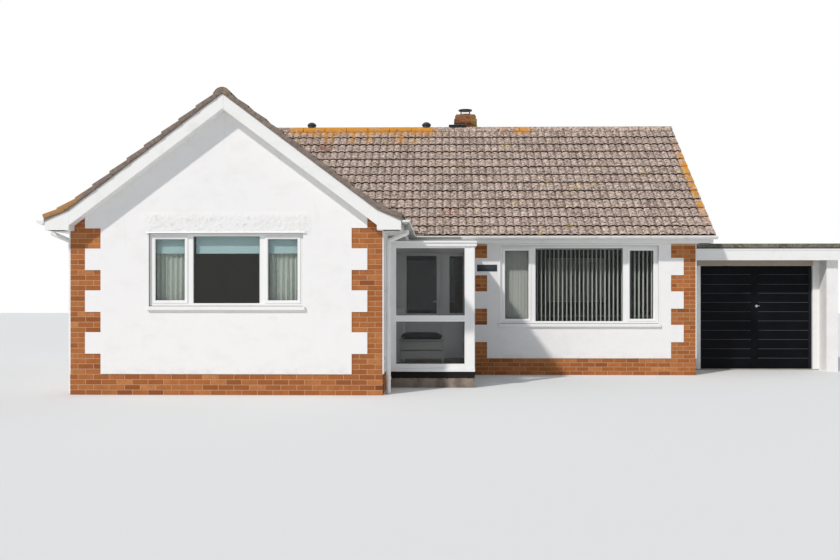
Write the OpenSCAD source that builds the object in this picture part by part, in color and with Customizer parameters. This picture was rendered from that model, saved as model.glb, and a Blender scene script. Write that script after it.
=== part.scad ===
/* [House body] */
// Width of the front wing, twenty bricks
wing_w = 4490; // [3600:10:5400]
// How far the wing stands out in front of the main front wall
wing_proj = 3600; // [3000:10:4500]
// Length of the main range along the front, forty four bricks
main_len = 9890; // [9400:10:11000]
// Depth of the main range from front to back
main_depth = 5840; // [5200:10:6600]
// Thickness of the outer cavity walls
wall_t = 275; // [215:5:350]
// Height that the house ground lies above the level base
ground_rise = 150; // [75:5:300]
// Height of the damp course, where the brick plinth ends
plinth_h = 150; // [75:5:225]
// Thickness of the rendered face on the bricks
render_t = 15; // [8:1:25]
// Height of the house floor above its ground
floor_z = 150; // [100:5:225]
// Thickness of the floor slab
slab_t = 150; // [100:5:200]
// Height of the ceiling above the house ground
ceiling_z = 2440; // [2300:10:2460]
// Thickness of the ceiling
ceiling_t = 60; // [30:5:70]

/* [Brick corners] */
// Width of a narrow brick block at a corner, one brick
quoin_narrow = 215; // [150:5:300]
// Width of a wide brick block at a corner, two bricks
quoin_wide = 440; // [350:5:520]
// Height from one wide block to the next, eight courses
quoin_pitch = 600; // [450:75:900]
// Height of one wide block
quoin_block_h = 290; // [200:5:400]
// Width of the narrow brick blocks beside the front doorway
door_quoin = 155; // [100:5:250]

/* [Roofs] */
// Slope of both roofs in degrees
pitch = 37; // [30:0.5:42]
// Height of the main roof's tiles over the face of the front wall
main_plate_z = 2587; // [2560:1:2700]
// Height at which the wing roof's main slope, carried on, meets the face of its side walls
wing_plate_z = 2508; // [2488:1:2538]
// Slope of the flatter foot of the wing roof in degrees
foot_pitch = 23.5; // [18:0.5:30]
// Thickness of the roof slabs, with rafters, battens and tiles
roof_t = 120; // [90:5:150]
// Thickness of the tile layer alone, at the eaves
tile_t = 36; // [25:1:40]
// Thickness of the tiles with their mortar bed, at the verges
verge_t = 48; // [40:1:70]
// Reach of the eaves from the wall to the fascia's face
eaves_reach = 275; // [220:5:320]
// Reach of the main roof's tiles past the fascia, over the gutter
tile_nose = 50; // [30:5:55]
// Gap between the wall tops and the roof slabs
bed_gap = 1; // [0.5:0.5:5]
// Reach of the verges from the gable wall to the bargeboard's face
verge_reach = 240; // [180:5:300]
// Reach of the tiles past the bargeboard
verge_nose = 30; // [10:5:50]
// Depth of the bargeboards, measured down the plumb line
barge_h = 210; // [150:5:250]
// Thickness of fascias and bargeboards
board_t = 22; // [16:1:30]
// Thickness of the soffit boards
soffit_t = 12; // [9:1:18]
// Height of the soffits' undersides
soffit_z = 2200; // [2185:5:2220]
// Reach of a bargeboard's boxed foot, and of the flatter foot, inside the wall's face
box_in = 65; // [40:5:100]
// Width of the half round ridge tiles
ridge_w = 250; // [220:5:280]
// Height of the main ridge tiles over the point of the slopes
ridge_rise = 60; // [40:5:80]
// Height of the wing's ridge tiles over the point of its slopes
wing_ridge_rise = 15; // [15:1:60]
// Extra depth of the tile bed over the wing, measured down the plumb line
wing_bed = 18; // [0:1:30]

/* [Gutters and pipes] */
// Width of the half round gutters
gutter_w = 112; // [100:1:125]
// Wall of gutters and pipes
gutter_wall = 4; // [3:1:6]
// Gap between a fascia and its gutter
gutter_gap = 10; // [5:1:15]
// Height of the wing gutters' rims
wing_gutter_z = 2336; // [2320:1:2350]
// Height of the main gutters' rims
main_gutter_z = 2321; // [2300:1:2322]
// Reach of the main gutters past the verge tiles
gutter_end_out = 25; // [10:5:50]
// Diameter of the downpipes
pipe_d = 68; // [60:1:80]
// Gap between a downpipe and the rendered wall
pipe_gap = 25; // [15:1:40]
// Distance of the downpipes from the corner of the wall
pipe_in = 215; // [150:5:400]
// Length of the outlet under a gutter
outlet_h = 100; // [75:1:110]
// Height from a gutter down to the foot of its swan neck
neck_h = 216; // [200:2:300]

/* [Chimney and vents] */
// Width of the square chimney stack
chimney_w = 470; // [440:5:600]
// Gap between the ridge tiles and the stack
chimney_gap = 12; // [5:1:40]
// Diameter of the flue
flue_d = 235; // [180:5:260]
// Place of the chimney's middle along the main range
chimney_x = 5857; // [5400:10:6500]
// Height of the stack's top
chimney_z = 5125; // [5000:5:5400]
// Diameter of the cowl's cap
cowl_d = 290; // [220:5:350]
// Height of the cowl over the stack
cowl_h = 120; // [80:5:160]
// Thickness of the cowl's ring, legs and cap
cowl_t = 20; // [12:1:25]
// Diameter of the two ridge vents
vent_d = 190; // [140:5:230]
// Height of a ridge vent's rim
vent_rim = 20; // [10:1:30]
// Height of a ridge vent's dome
vent_dome = 55; // [40:1:70]
// Place of the near ridge vent along the main range
vent_x = 5032; // [4600:10:5300]
// Place of the far ridge vent along the main range
far_vent_x = 2617; // [2400:10:3200]

/* [Windows] */
// Height of the window heads
head_z = 2170; // [2100:5:2180]
// Width of the wing window
wing_window_w = 2220; // [1800:10:2600]
// Height of the wing window
wing_window_h = 1050; // [900:10:1300]
// Distance of the main window from the front doorway
main_window_gap = 620; // [450:5:800]
// Height of the main window
main_window_h = 1400; // [1200:10:1500]
// Distance of the main window from the right corner
main_window_in = 660; // [600:5:800]
// Width of the two small rear windows
rear_window_w = 1360; // [1100:10:1600]
// Width of the glass in a side light
side_glass_w = 420; // [350:5:500]
// Width of the window frames' faces
frame_w = 45; // [35:1:60]
// Width of the opening lights' sash faces
sash_w = 42; // [30:1:55]
// Width of the mullions
mullion_w = 85; // [60:1:100]
// Depth of the window frames
frame_d = 60; // [50:1:80]
// Distance of the window frames behind the wall's face
frame_in = 30; // [15:5:60]
// Thickness of the glass units
glass_t = 24; // [16:1:28]
// Height of the window sills
sill_h = 50; // [35:1:70]
// Reach of the sills in front of the render
sill_out = 45; // [25:5:70]
// Reach of the sills past each side of the window
sill_side = 25; // [10:5:50]
// Thickness of the curtains and blinds behind the front windows
blind_t = 50; // [30:1:60]
// Thickness of a roller blind
roller_t = 12; // [8:1:16]
// Gap between the window frames and the blinds
blind_gap = 25; // [15:1:35]
// Drop of the roller blinds in the wing window
roller_drop = 290; // [200:10:500]

/* [Front door] */
// Width of the front doorway, with its side light
doorway_w = 1290; // [1200:10:1350]
// Height of the doorway's head
doorway_z = 2150; // [2140:5:2190]
// Width of the door leaf
leaf_w = 762; // [700:1:800]
// Height of the door leaf
leaf_h = 1925; // [1860:1:1930]
// Thickness of the door leaf
leaf_t = 45; // [38:1:55]
// Width of the door frame's jamb at the hinges
hinge_jamb_w = 103; // [60:1:120]
// Width of the door frame's jamb beside the side light
jamb_w = 40; // [30:1:60]
// Depth of the door frame
jamb_d = 72; // [65:1:90]
// Distance of the door frame behind the wall's face
door_in = 95; // [60:5:120]
// Clearance around the door leaf
leaf_gap = 7; // [5:1:9]
// Diameter of the hinge knuckles
knuckle_d = 16; // [12:1:20]
// Diameter of the hinge pins
hinge_pin_d = 8; // [5:1:9]
// Height of the middle knuckle of a hinge
knuckle_h = 50; // [40:1:70]
// Height of the outer knuckles
end_knuckle_h = 24; // [15:1:30]
// Width of a hinge plate
hinge_plate_w = 45; // [30:1:60]
// Thickness of a hinge plate
hinge_plate_t = 4; // [3:0.5:5]
// Gap between the knuckles
knuckle_gap = 1; // [0.5:0.5:2]
// Distance of the outer hinges from the leaf's ends
hinge_in = 200; // [150:5:300]
// Overlap of the door stop in front of the leaf
stop_w = 16; // [12:1:20]
// Width of the leaf's stiles
stile_w = 105; // [85:5:125]
// Height of the glass in the door leaf
door_glass_h = 1050; // [900:10:1150]
// Width of the post between the door and its side light
door_post_w = 106; // [80:1:130]
// Height of the threshold
threshold_h = 20; // [12:1:30]
// Height of the door handle above the house floor
handle_h = 1020; // [900:10:1100]
// Width of the handle's plate
handle_plate_w = 32; // [26:1:50]
// Height of the handle's plate
handle_plate_h = 220; // [160:5:260]
// Thickness of the handle's plate
handle_plate_t = 8; // [5:1:12]
// Length of the handle's lever
lever_w = 120; // [90:1:135]
// Thickness of the lever
lever_t = 14; // [10:1:18]
// Reach of the lever from the plate
lever_out = 36; // [28:1:45]

/* [Porch] */
// Reach of the porch in front of the main front wall
porch_proj = 2450; // [2000:10:2900]
// Width of the porch from the wing's rendered wall
porch_w = 1345; // [1310:5:1400]
// Height of the porch floor
porch_floor_z = 100; // [75:5:130]
// Height of the porch frame's top
porch_top_z = 2040; // [2020:1:2060]
// Thickness of the porch roof
porch_roof_t = 77; // [60:1:90]
// Reach of the porch roof past its frame
porch_eaves = 30; // [15:5:60]
// Thickness of the porch screens
screen_t = 70; // [55:1:90]
// Width of the post at the wing
wing_post_w = 128; // [100:1:160]
// Width of the corner post
corner_post_w = 155; // [120:5:180]
// Height of the bottom rail
bottom_rail_h = 117; // [80:1:140]
// Height of the middle rail's underside
mid_rail_z = 874; // [700:1:1000]
// Height of the middle rail
mid_rail_h = 93; // [70:1:120]
// Height of the top rail
top_rail_h = 30; // [25:1:40]
// Width of the posts in the porch's side
side_post_w = 140; // [100:5:180]
// Distance of the side's middle post in front of the main front wall
side_post_in = 900; // [700:10:1200]

/* [Porch bench] */
// Width of the bench
bench_w = 690; // [550:10:750]
// Depth of the bench
bench_d = 340; // [280:10:400]
// Height of the bench above the porch floor
bench_h = 490; // [420:10:550]
// Thickness of the bench's boards
bench_bar = 20; // [15:1:30]
// Height of the bench's lower shelf, and from it to the next
shelf_z = 155; // [120:5:180]
// Height of the cushion
cushion_h = 110; // [60:5:130]

/* [Garage] */
// Inside width of the garage
garage_w = 2669; // [2500:1:2900]
// Thickness of the garage walls
garage_wall_t = 215; // [180:5:250]
// Distance of the garage door behind the main front wall
garage_door_y = 1307; // [1100:1:1500]
// Length of the garage behind its door
garage_len = 4300; // [3800:10:4400]
// Distance of the party wall's front end behind the main front wall
party_end_y = 900; // [850:10:1000]
// Height of the garage floor below the house ground
garage_drop = 130; // [100:1:140]
// Width of the garage door leaf
gate_w = 2122; // [2000:1:2200]
// Height of the garage door leaf
gate_h = 1976; // [1900:1:1990]
// Thickness of the garage door leaf
gate_t = 40; // [30:1:50]
// Clearance around the garage door leaf
gate_gap = 7; // [6:1:9]
// Distance of the garage door's pivot behind its outer face
gate_arm = 385; // [340:5:420]
// Width of the garage door's pivot arms
arm_w = 44; // [36:1:60]
// Thickness of the pivot arms
arm_t = 8; // [6:1:10]
// Diameter of the pivot pins
pin_d = 16; // [12:1:20]
// Clearance of the pivot pins in their bores
pin_gap = 1; // [0.2:0.1:1]
// Length of the pivot pins past the frame
pin_len = 25; // [18:1:30]
// Width of the brackets that carry the pivot pins
bracket_w = 90; // [70:5:120]
// Width of the left jamb beside the garage door
gate_jamb_w = 65; // [50:1:80]
// Width of the right jamb, up to the party wall
gate_end_w = 120; // [90:1:150]
// Thickness of the board over the garage door
gate_head_t = 38; // [25:1:50]
// Depth of the garage door frame
gate_jamb_d = 90; // [70:1:120]
// Height of the garage roof's top
garage_top_z = 2246; // [2210:1:2280]
// Thickness of the garage roof
garage_roof_t = 140; // [120:1:160]
// Height of the garage fascia
garage_fascia_h = 225; // [200:5:250]
// Thickness of the felt edge above the garage fascia
felt_h = 86; // [60:1:100]
// Distance of the garage fascia behind the main front wall
garage_fascia_y = 760; // [700:10:800]

/* [Hidden] */

slope = tan(pitch);
foot_slope = tan(foot_pitch);
base_z = -ground_rise;
tile_reach = eaves_reach + tile_nose;
verge_tile = verge_reach + verge_nose;
roof_drop = roof_t / cos(pitch);
tile_drop = tile_t / cos(pitch);
verge_drop = verge_t / cos(pitch);
wing_tile_drop = tile_drop + wing_bed;
wing_verge_drop = verge_drop + wing_bed;
gutter_reach = eaves_reach + gutter_gap + gutter_w;
barge_back = verge_reach - board_t;
corner_x = wing_w + eaves_reach;
wing_mid = wing_w / 2;
ridge_y = main_depth / 2;

// The house frame has its origin at the wing's left face, the main front face and the house ground
party_x = main_len + render_t + garage_w;
house_right = party_x + garage_wall_t;
frame_x = (house_right - gutter_reach) / 2;
frame_y = (main_depth + gutter_reach - wing_proj - verge_tile) / 2;

// Heights of the tiles' top face over the main range and over the wing with its flatter foot
function main_top(y) = main_plate_z + slope * min(y, main_depth - y);
function wing_in(x) = min(x, wing_w - x);
function wing_plane(x) = wing_plate_z + slope * wing_in(x);
function wing_top(x) = wing_plane(max(wing_in(x), box_in))
    + foot_slope * (min(wing_in(x), box_in) - box_in);

// Heights of the roof slabs' undersides, and of the wall tops that carry them
function main_under(y) = main_top(y) - roof_drop;
function wing_under(x) = wing_plane(x) - roof_drop - wing_bed;
function main_wall_top(y) = main_under(y) - bed_gap;
function wing_wall_top(x) = wing_under(x) - bed_gap;

main_fascia_z = main_top(-eaves_reach) - tile_drop;
wing_fascia_z = wing_top(-eaves_reach) - wing_tile_drop;

door_x = wing_w;
door_end_x = door_x + doorway_w;
leaf_x = door_x + hinge_jamb_w + leaf_gap;
leaf_z = floor_z + threshold_h + leaf_gap;
main_window_x = door_end_x + main_window_gap;
main_window_w = main_len - main_window_in - main_window_x;
wing_window_x = (wing_w - wing_window_w) / 2;
porch_x = wing_w + render_t;
gate_x = party_x - gate_end_w - gate_gap - gate_w;
gate_front_y = garage_door_y - gate_gap - gate_head_t;
garage_back = garage_door_y + garage_len;
gate_z = -garage_drop + gate_gap;
gate_head_z = gate_z + gate_h - gate_gap;
gate_axis_y = garage_door_y + gate_arm;
gate_axis_z = gate_head_z - gate_gap - gate_arm;
overrun = 50;

module box(x0, x1, y0, y1, z0, z1) {
    translate([x0, y0, z0]) cube([x1 - x0, y1 - y0, z1 - z0]);
}

// Pushes an outline of width and height along X or along Y
module along_x(x0, x1) {
    translate([x0, 0, 0]) rotate([90, 0, 90]) linear_extrude(x1 - x0) children();
}
module along_y(y0, y1) {
    translate([0, y1, 0]) rotate([90, 0, 0]) linear_extrude(y1 - y0) children();
}
module mirror_y(y_mid) {
    translate([0, 2 * y_mid, 0]) mirror([0, 1, 0]) children();
}
module mirror_x(x_mid) {
    translate([2 * x_mid, 0, 0]) mirror([1, 0, 0]) children();
}

// Outlines of the two roofs and of their tiles, seen along the ridges
module main_tiles_outline(reach, drop) {
    polygon([
        [-reach, main_top(-reach)],
        [ridge_y, main_top(ridge_y)],
        [main_depth + reach, main_top(-reach)],
        [main_depth + reach, main_top(-reach) - drop],
        [ridge_y, main_top(ridge_y) - drop],
        [-reach, main_top(-reach) - drop]
    ]);
}
module main_roof_outline() {
    polygon([
        [-tile_reach, main_top(-tile_reach)],
        [ridge_y, main_top(ridge_y)],
        [main_depth + tile_reach, main_top(-tile_reach)],
        [main_depth + tile_reach, main_top(-tile_reach) - tile_drop],
        [main_depth + eaves_reach - board_t, main_top(board_t - eaves_reach) - tile_drop],
        [main_depth, main_under(0)],
        [ridge_y, main_under(ridge_y)],
        [0, main_under(0)],
        [board_t - eaves_reach, main_top(board_t - eaves_reach) - tile_drop],
        [-tile_reach, main_top(-tile_reach) - tile_drop]
    ]);
}
module wing_tiles_outline(drop) {
    polygon([
        [-eaves_reach, wing_top(-eaves_reach)],
        [box_in, wing_top(box_in)],
        [wing_mid, wing_top(wing_mid)],
        [wing_w - box_in, wing_top(box_in)],
        [wing_w + eaves_reach, wing_top(-eaves_reach)],
        [wing_w + eaves_reach, wing_top(-eaves_reach) - drop],
        [wing_w - box_in, wing_top(box_in) - drop],
        [wing_mid, wing_top(wing_mid) - drop],
        [box_in, wing_top(box_in) - drop],
        [-eaves_reach, wing_top(-eaves_reach) - drop]
    ]);
}
module wing_roof_outline() {
    polygon([
        [board_t - eaves_reach, wing_top(board_t - eaves_reach)],
        [box_in, wing_top(box_in)],
        [wing_mid, wing_top(wing_mid)],
        [wing_w - box_in, wing_top(box_in)],
        [wing_w + eaves_reach - board_t, wing_top(board_t - eaves_reach)],
        [wing_w + eaves_reach - board_t, wing_top(board_t - eaves_reach) - wing_tile_drop],
        [wing_w, wing_under(0)],
        [wing_mid, wing_under(wing_mid)],
        [0, wing_under(0)],
        [board_t - eaves_reach, wing_top(board_t - eaves_reach) - wing_tile_drop]
    ]);
}

// Plan of the wing roof, back to the two valleys where the slabs' undersides meet
function valley_y(x) = (wing_top(x) - wing_bed - main_plate_z) / slope;
module wing_plan() {
    polygon([
        [-tile_reach - overrun, -wing_proj - verge_tile - overrun],
        [wing_w + tile_reach + overrun, -wing_proj - verge_tile - overrun],
        [wing_w + tile_reach + overrun, valley_y(-tile_reach - overrun)],
        [wing_w - box_in, valley_y(box_in)],
        [wing_mid, valley_y(wing_mid)],
        [box_in, valley_y(box_in)],
        [-tile_reach - overrun, valley_y(-tile_reach - overrun)]
    ]);
}
module over_wing() {
    translate([0, 0, base_z]) linear_extrude(2 * main_top(ridge_y)) wing_plan();
}

// Ground plan of the rooms inside the walls
module room_plan() {
    translate([wall_t, -wing_proj + wall_t]) square([wing_w - 2 * wall_t, wing_proj - wall_t]);
    translate([wall_t, wall_t]) square([main_len - 2 * wall_t, main_depth - 2 * wall_t]);
    translate([wall_t, 0]) square([wing_w - 2 * wall_t, wall_t]);
}
module floor_slab() {
    color("gray")
        translate([0, 0, floor_z - slab_t]) linear_extrude(slab_t) {
            room_plan();
            translate([door_x, 0]) square([doorway_w, wall_t]);
        }
}
module ceiling() {
    color("white") difference() {
        translate([0, 0, ceiling_z]) linear_extrude(ceiling_t) room_plan();
        chimney_box(floor_z, chimney_z);
    }
}

// A window opening through a wall that faces the front, with the bed of its sill
module window_hole(x, w, h) {
    box(x, x + w, -overrun, wall_t + overrun, head_z - h, head_z);
    box(x, x + w, -overrun, frame_in + frame_d, head_z - h - sill_h, head_z);
}
module wing_gable(y0, y1, z0) {
    along_y(y0, y1) polygon([
        [0, z0],
        [wing_w, z0],
        [wing_w, wing_wall_top(0)],
        [wing_mid, wing_wall_top(wing_mid)],
        [0, wing_wall_top(0)]
    ]);
}
module wing_front_wall() {
    color("sienna") difference() {
        wing_gable(-wing_proj, -wing_proj + wall_t, base_z);
        translate([0, -wing_proj, 0]) window_hole(wing_window_x, wing_window_w, wing_window_h);
    }
}
module wing_side_outline() {
    polygon([[0, base_z], [wall_t, base_z], [wall_t, wing_wall_top(wall_t)], [0, wing_wall_top(0)]]);
}
module wing_left_wall() {
    color("sienna") along_y(-wing_proj + wall_t, 0) wing_side_outline();
}
module wing_right_wall() {
    color("sienna") mirror_x(wing_mid) along_y(-wing_proj + wall_t, wall_t) wing_side_outline();
}
module main_gable(x0, x1, z0) {
    along_x(x0, x1) polygon([
        [0, z0],
        [main_depth, z0],
        [main_depth, main_wall_top(0)],
        [ridge_y, main_wall_top(ridge_y)],
        [0, main_wall_top(0)]
    ]);
}
module main_left_wall() {
    color("sienna") main_gable(0, wall_t, base_z);
}
module main_right_wall() {
    color("sienna") main_gable(main_len - wall_t, main_len, base_z);
}
module main_side_outline(z0) {
    polygon([[0, z0], [wall_t, z0], [wall_t, main_wall_top(wall_t)], [0, main_wall_top(0)]]);
}
module front_wall() {
    color("sienna") difference() {
        along_x(door_end_x, main_len - wall_t) main_side_outline(base_z);
        window_hole(main_window_x, main_window_w, main_window_h);
    }
}
module doorway_lintel() {
    color("sienna") along_x(door_x, door_end_x) main_side_outline(doorway_z);
}

// Three plain windows in the rear wall, which is built as the front one and mirrored
rear_window_h = wing_window_h;
rear_window_xs = [
    (wing_w - rear_window_w) / 2,
    (main_len - wing_window_w) / 2 + wing_w / 4,
    main_len - main_window_in - rear_window_w
];
rear_window_ws = [rear_window_w, wing_window_w, rear_window_w];
module rear_wall() {
    color("sienna") mirror_y(ridge_y) difference() {
        along_x(wall_t, main_len - wall_t) main_side_outline(base_z);
        for (i = [0 : 2])
            window_hole(rear_window_xs[i], rear_window_ws[i], rear_window_h);
    }
}

// A toothed brick corner, as cut from a rendered panel: wide blocks on a narrow strip
module brick_corner(narrow, top) {
    wide = narrow + quoin_wide - quoin_narrow;
    translate([-overrun, base_z]) square([narrow + overrun, top - base_z + overrun]);
    for (z = [plinth_h : quoin_pitch : soffit_z])
        translate([-overrun, z]) square([wide + overrun, quoin_block_h]);
}
module window_gap(x, w, h) {
    translate([x, head_z - h - sill_h]) square([w, h + sill_h]);
}
module front_render() {
    color("white") {
        along_y(-wing_proj - render_t, -wing_proj) difference() {
            polygon([
                [0, plinth_h],
                [wing_w, plinth_h],
                [wing_w, wing_wall_top(0)],
                [wing_mid, wing_wall_top(wing_mid)],
                [0, wing_wall_top(0)]
            ]);
            brick_corner(quoin_narrow, wing_wall_top(quoin_narrow));
            translate([wing_w, 0]) mirror([1, 0])
                brick_corner(quoin_narrow, wing_wall_top(quoin_narrow));
            window_gap(wing_window_x, wing_window_w, wing_window_h);
        }
        along_y(-render_t, 0) difference() {
            translate([door_end_x, plinth_h])
                square([main_len - door_end_x, soffit_z - plinth_h]);
            translate([door_end_x, 0]) brick_corner(door_quoin, soffit_z);
            translate([main_len, 0]) mirror([1, 0]) brick_corner(quoin_narrow, soffit_z);
            window_gap(main_window_x, main_window_w, main_window_h);
        }
    }
}
module side_render() {
    color("white") {
        box(-render_t, 0, -wing_proj, -eaves_reach, plinth_h, soffit_z);
        along_x(-render_t, 0) polygon([
            [-eaves_reach, plinth_h],
            [main_depth, plinth_h],
            [main_depth, soffit_z],
            [main_depth, main_wall_top(0)],
            [ridge_y, main_wall_top(ridge_y)],
            [0, main_wall_top(0)],
            [0, soffit_z],
            [-eaves_reach, soffit_z]
        ]);
        box(wing_w, wing_w + render_t, -wing_proj, 0, plinth_h, soffit_z);
        main_gable(main_len, main_len + render_t, plinth_h);
    }
}
module rear_render() {
    color("white") along_y(main_depth, main_depth + render_t) difference() {
        translate([0, plinth_h]) square([main_len, soffit_z - plinth_h]);
        brick_corner(quoin_narrow, soffit_z);
        translate([main_len, 0]) mirror([1, 0]) brick_corner(quoin_narrow, soffit_z);
        for (i = [0 : 2])
            window_gap(rear_window_xs[i], rear_window_ws[i], rear_window_h);
    }
}

module main_roof() {
    color("rosybrown") difference() {
        union() {
            along_x(-verge_tile, main_len + verge_tile) main_tiles_outline(tile_reach, tile_drop);
            along_x(-barge_back, main_len + barge_back) main_roof_outline();
            for (x = [[-verge_tile, -barge_back], [main_len + barge_back, main_len + verge_tile]])
                along_x(x[0], x[1]) main_tiles_outline(eaves_reach, verge_drop);
        }
        over_wing();
        chimney_box(floor_z, chimney_z + overrun);
    }
}
module wing_roof() {
    color("rosybrown") intersection() {
        union() {
            along_y(-wing_proj - verge_tile, ridge_y) wing_tiles_outline(wing_tile_drop);
            along_y(-wing_proj - barge_back, ridge_y) wing_roof_outline();
            along_y(-wing_proj - verge_tile, -wing_proj - barge_back)
                wing_tiles_outline(wing_verge_drop);
        }
        over_wing();
    }
}

// Half round ridge tiles, bedded on the two slopes
module ridge_outline(mid, top, rise) {
    half = ridge_w / 2;
    translate([mid, top]) intersection() {
        translate([0, rise - half]) circle(half);
        polygon([
            [-half, -half * slope],
            [-half, half],
            [half, half],
            [half, -half * slope],
            [0, 0]
        ]);
    }
}
module ridge_tiles() {
    wing_end_y = valley_y(wing_mid) - ridge_w / 2;
    color("rosybrown") {
        along_x(-verge_tile, main_len + verge_tile)
            ridge_outline(ridge_y, main_top(ridge_y), ridge_rise);
        along_y(-wing_proj - verge_tile, wing_end_y)
            ridge_outline(wing_mid, wing_top(wing_mid), wing_ridge_rise);
    }
}

// Bargeboards under the verge tiles, with a boxed foot at the eaves. The tops are those of the
// tiles, and drop is the depth from there down to the board
module half_barge_outline(end_top, knee_top, mid, mid_top, drop) {
    polygon([
        [-eaves_reach, soffit_z],
        [-eaves_reach, end_top - drop],
        [box_in, knee_top - drop],
        [mid, mid_top - drop],
        [mid, mid_top - drop - barge_h],
        [box_in, knee_top - drop - barge_h],
        [box_in, soffit_z]
    ]);
}
module wing_barge() {
    half_barge_outline(wing_top(-eaves_reach), wing_top(box_in), wing_mid, wing_top(wing_mid),
        wing_verge_drop + bed_gap);
}
module main_barge() {
    half_barge_outline(main_top(-eaves_reach), main_top(box_in), ridge_y, main_top(ridge_y),
        verge_drop + bed_gap);
}
module bargeboards() {
    color("white") {
        along_y(-wing_proj - verge_reach, -wing_proj - verge_reach + board_t) union() {
            wing_barge();
            translate([wing_w, 0]) mirror([1, 0]) wing_barge();
        }
        for (side = [0, 1])
            translate([side * main_len, 0, 0]) mirror([1 - side, 0, 0])
                along_x(verge_reach - board_t, verge_reach) union() {
                    main_barge();
                    translate([main_depth, 0]) mirror([1, 0]) main_barge();
                }
    }
}

// Fascias along the eaves
module fascias() {
    color("white") {
        box(-eaves_reach, board_t - eaves_reach, -wing_proj - barge_back, -eaves_reach - board_t,
            soffit_z, wing_fascia_z);
        box(corner_x - board_t, corner_x, -wing_proj - barge_back, -eaves_reach,
            soffit_z, wing_fascia_z);
        box(corner_x - board_t, main_len + barge_back, -eaves_reach, board_t - eaves_reach,
            soffit_z, main_fascia_z);
        box(-barge_back, main_len + barge_back, main_depth + eaves_reach - board_t,
            main_depth + eaves_reach, soffit_z, main_fascia_z);
    }
}
module soffits() {
    inner = eaves_reach - board_t;
    color("white") {
        box(-inner, -render_t, -wing_proj - barge_back, -eaves_reach, soffit_z,
            soffit_z + soffit_t);
        box(-barge_back, -render_t, -eaves_reach, 0, soffit_z, soffit_z + soffit_t);
        box(wing_w + render_t, wing_w + inner, -wing_proj - barge_back, -inner, soffit_z,
            soffit_z + soffit_t);
        box(wing_w + render_t, main_len + barge_back, -inner, 0, soffit_z, soffit_z + soffit_t);
        box(-barge_back, main_len + barge_back, main_depth, main_depth + inner, soffit_z,
            soffit_z + soffit_t);
    }
}

// Half round gutters, with stopped ends. The outline lies in front of a fascia at 0, under its rim
gutter_r = gutter_w / 2;
module half_round() {
    translate([gutter_r + gutter_gap, 0]) intersection() {
        circle(gutter_r);
        translate([-gutter_r, -gutter_r]) square([gutter_w, gutter_r]);
    }
}
module gutter_run(length, ends) {
    linear_extrude(length) difference() {
        half_round();
        translate([gutter_r + gutter_gap, 0]) circle(gutter_r - gutter_wall);
    }
    for (end = ends)
        translate([0, 0, end * (length - gutter_wall)]) linear_extrude(gutter_wall) half_round();
}
module gutters() {
    front = -wing_proj - verge_reach;
    back = -gutter_reach;
    main_end = main_len + verge_tile + gutter_end_out;
    color("white") {
        translate([0, back, wing_gutter_z]) rotate([90, 0, 0]) {
            translate([-eaves_reach, 0, 0]) mirror([1, 0, 0]) gutter_run(back - front, [0, 1]);
            translate([corner_x, 0, 0]) gutter_run(back - front, [0, 1]);
        }
        translate([corner_x, -eaves_reach, main_gutter_z]) rotate([90, 0, 90])
            mirror([1, 0, 0]) gutter_run(main_end - corner_x, [1]);
        translate([main_len - main_end, main_depth + eaves_reach, main_gutter_z])
            rotate([90, 0, 90]) gutter_run(2 * main_end - main_len, [0, 1]);
    }
}

// A downpipe on a side wall, with the swan neck up to its gutter
pipe_out = render_t + pipe_gap + pipe_d / 2;
outlet_out = eaves_reach + gutter_gap + gutter_r;
module downpipe(rim_z) {
    reach = outlet_out - pipe_out;
    fall = neck_h - outlet_h;
    foot_z = rim_z - gutter_r - neck_h;
    translate([pipe_out, 0, base_z]) cylinder(d = pipe_d, h = foot_z - base_z);
    translate([pipe_out, 0, foot_z]) sphere(d = pipe_d);
    translate([pipe_out, 0, foot_z]) rotate([0, atan2(reach, fall), 0])
        cylinder(d = pipe_d, h = norm([reach, fall]));
    translate([outlet_out, 0, foot_z + fall]) sphere(d = pipe_d);
    translate([outlet_out, 0, foot_z + fall]) cylinder(d = pipe_d, h = outlet_h);
}
module downpipes() {
    color("white") {
        translate([wing_w, -wing_proj + pipe_in, 0]) downpipe(wing_gutter_z);
        translate([0, -wing_proj + pipe_in, 0]) mirror([1, 0, 0]) downpipe(wing_gutter_z);
        for (x = [pipe_in, main_len - pipe_in])
            translate([x, main_depth, 0]) rotate([0, 0, 90]) downpipe(main_gutter_z);
    }
}

// The chimney stands on the floor, and comes up just behind the ridge tiles
chimney_y = ridge_y + ridge_w / 2 + chimney_gap;
module chimney_box(z0, z1) {
    box(chimney_x - chimney_w / 2, chimney_x + chimney_w / 2, chimney_y, chimney_y + chimney_w,
        z0, z1);
}
module over_stack(z) {
    translate([chimney_x, chimney_y + chimney_w / 2, chimney_z + z]) children();
}
module chimney() {
    color("sienna") difference() {
        chimney_box(floor_z, chimney_z);
        over_stack(-2 * flue_d) cylinder(d = flue_d, h = 2 * flue_d + overrun);
    }
}
module chimney_cowl() {
    difference() {
        cylinder(d = flue_d + 2 * cowl_t, h = cowl_t);
        translate([0, 0, -cowl_t]) cylinder(d = flue_d, h = 3 * cowl_t);
    }
    for (turn = [45 : 90 : 315])
        rotate([0, 0, turn]) translate([(flue_d + cowl_t) / 2, 0, cowl_t])
            cylinder(d = cowl_t, h = cowl_h - 2 * cowl_t);
    translate([0, 0, cowl_h - cowl_t]) cylinder(d = cowl_d, h = cowl_t);
}
module ridge_vent() {
    radius = (vent_d * vent_d / 4 + vent_dome * vent_dome) / (2 * vent_dome);
    cylinder(d = vent_d, h = vent_rim);
    translate([0, 0, vent_rim]) intersection() {
        translate([0, 0, vent_dome - radius]) sphere(radius);
        cylinder(r = radius, h = vent_dome);
    }
}
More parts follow.
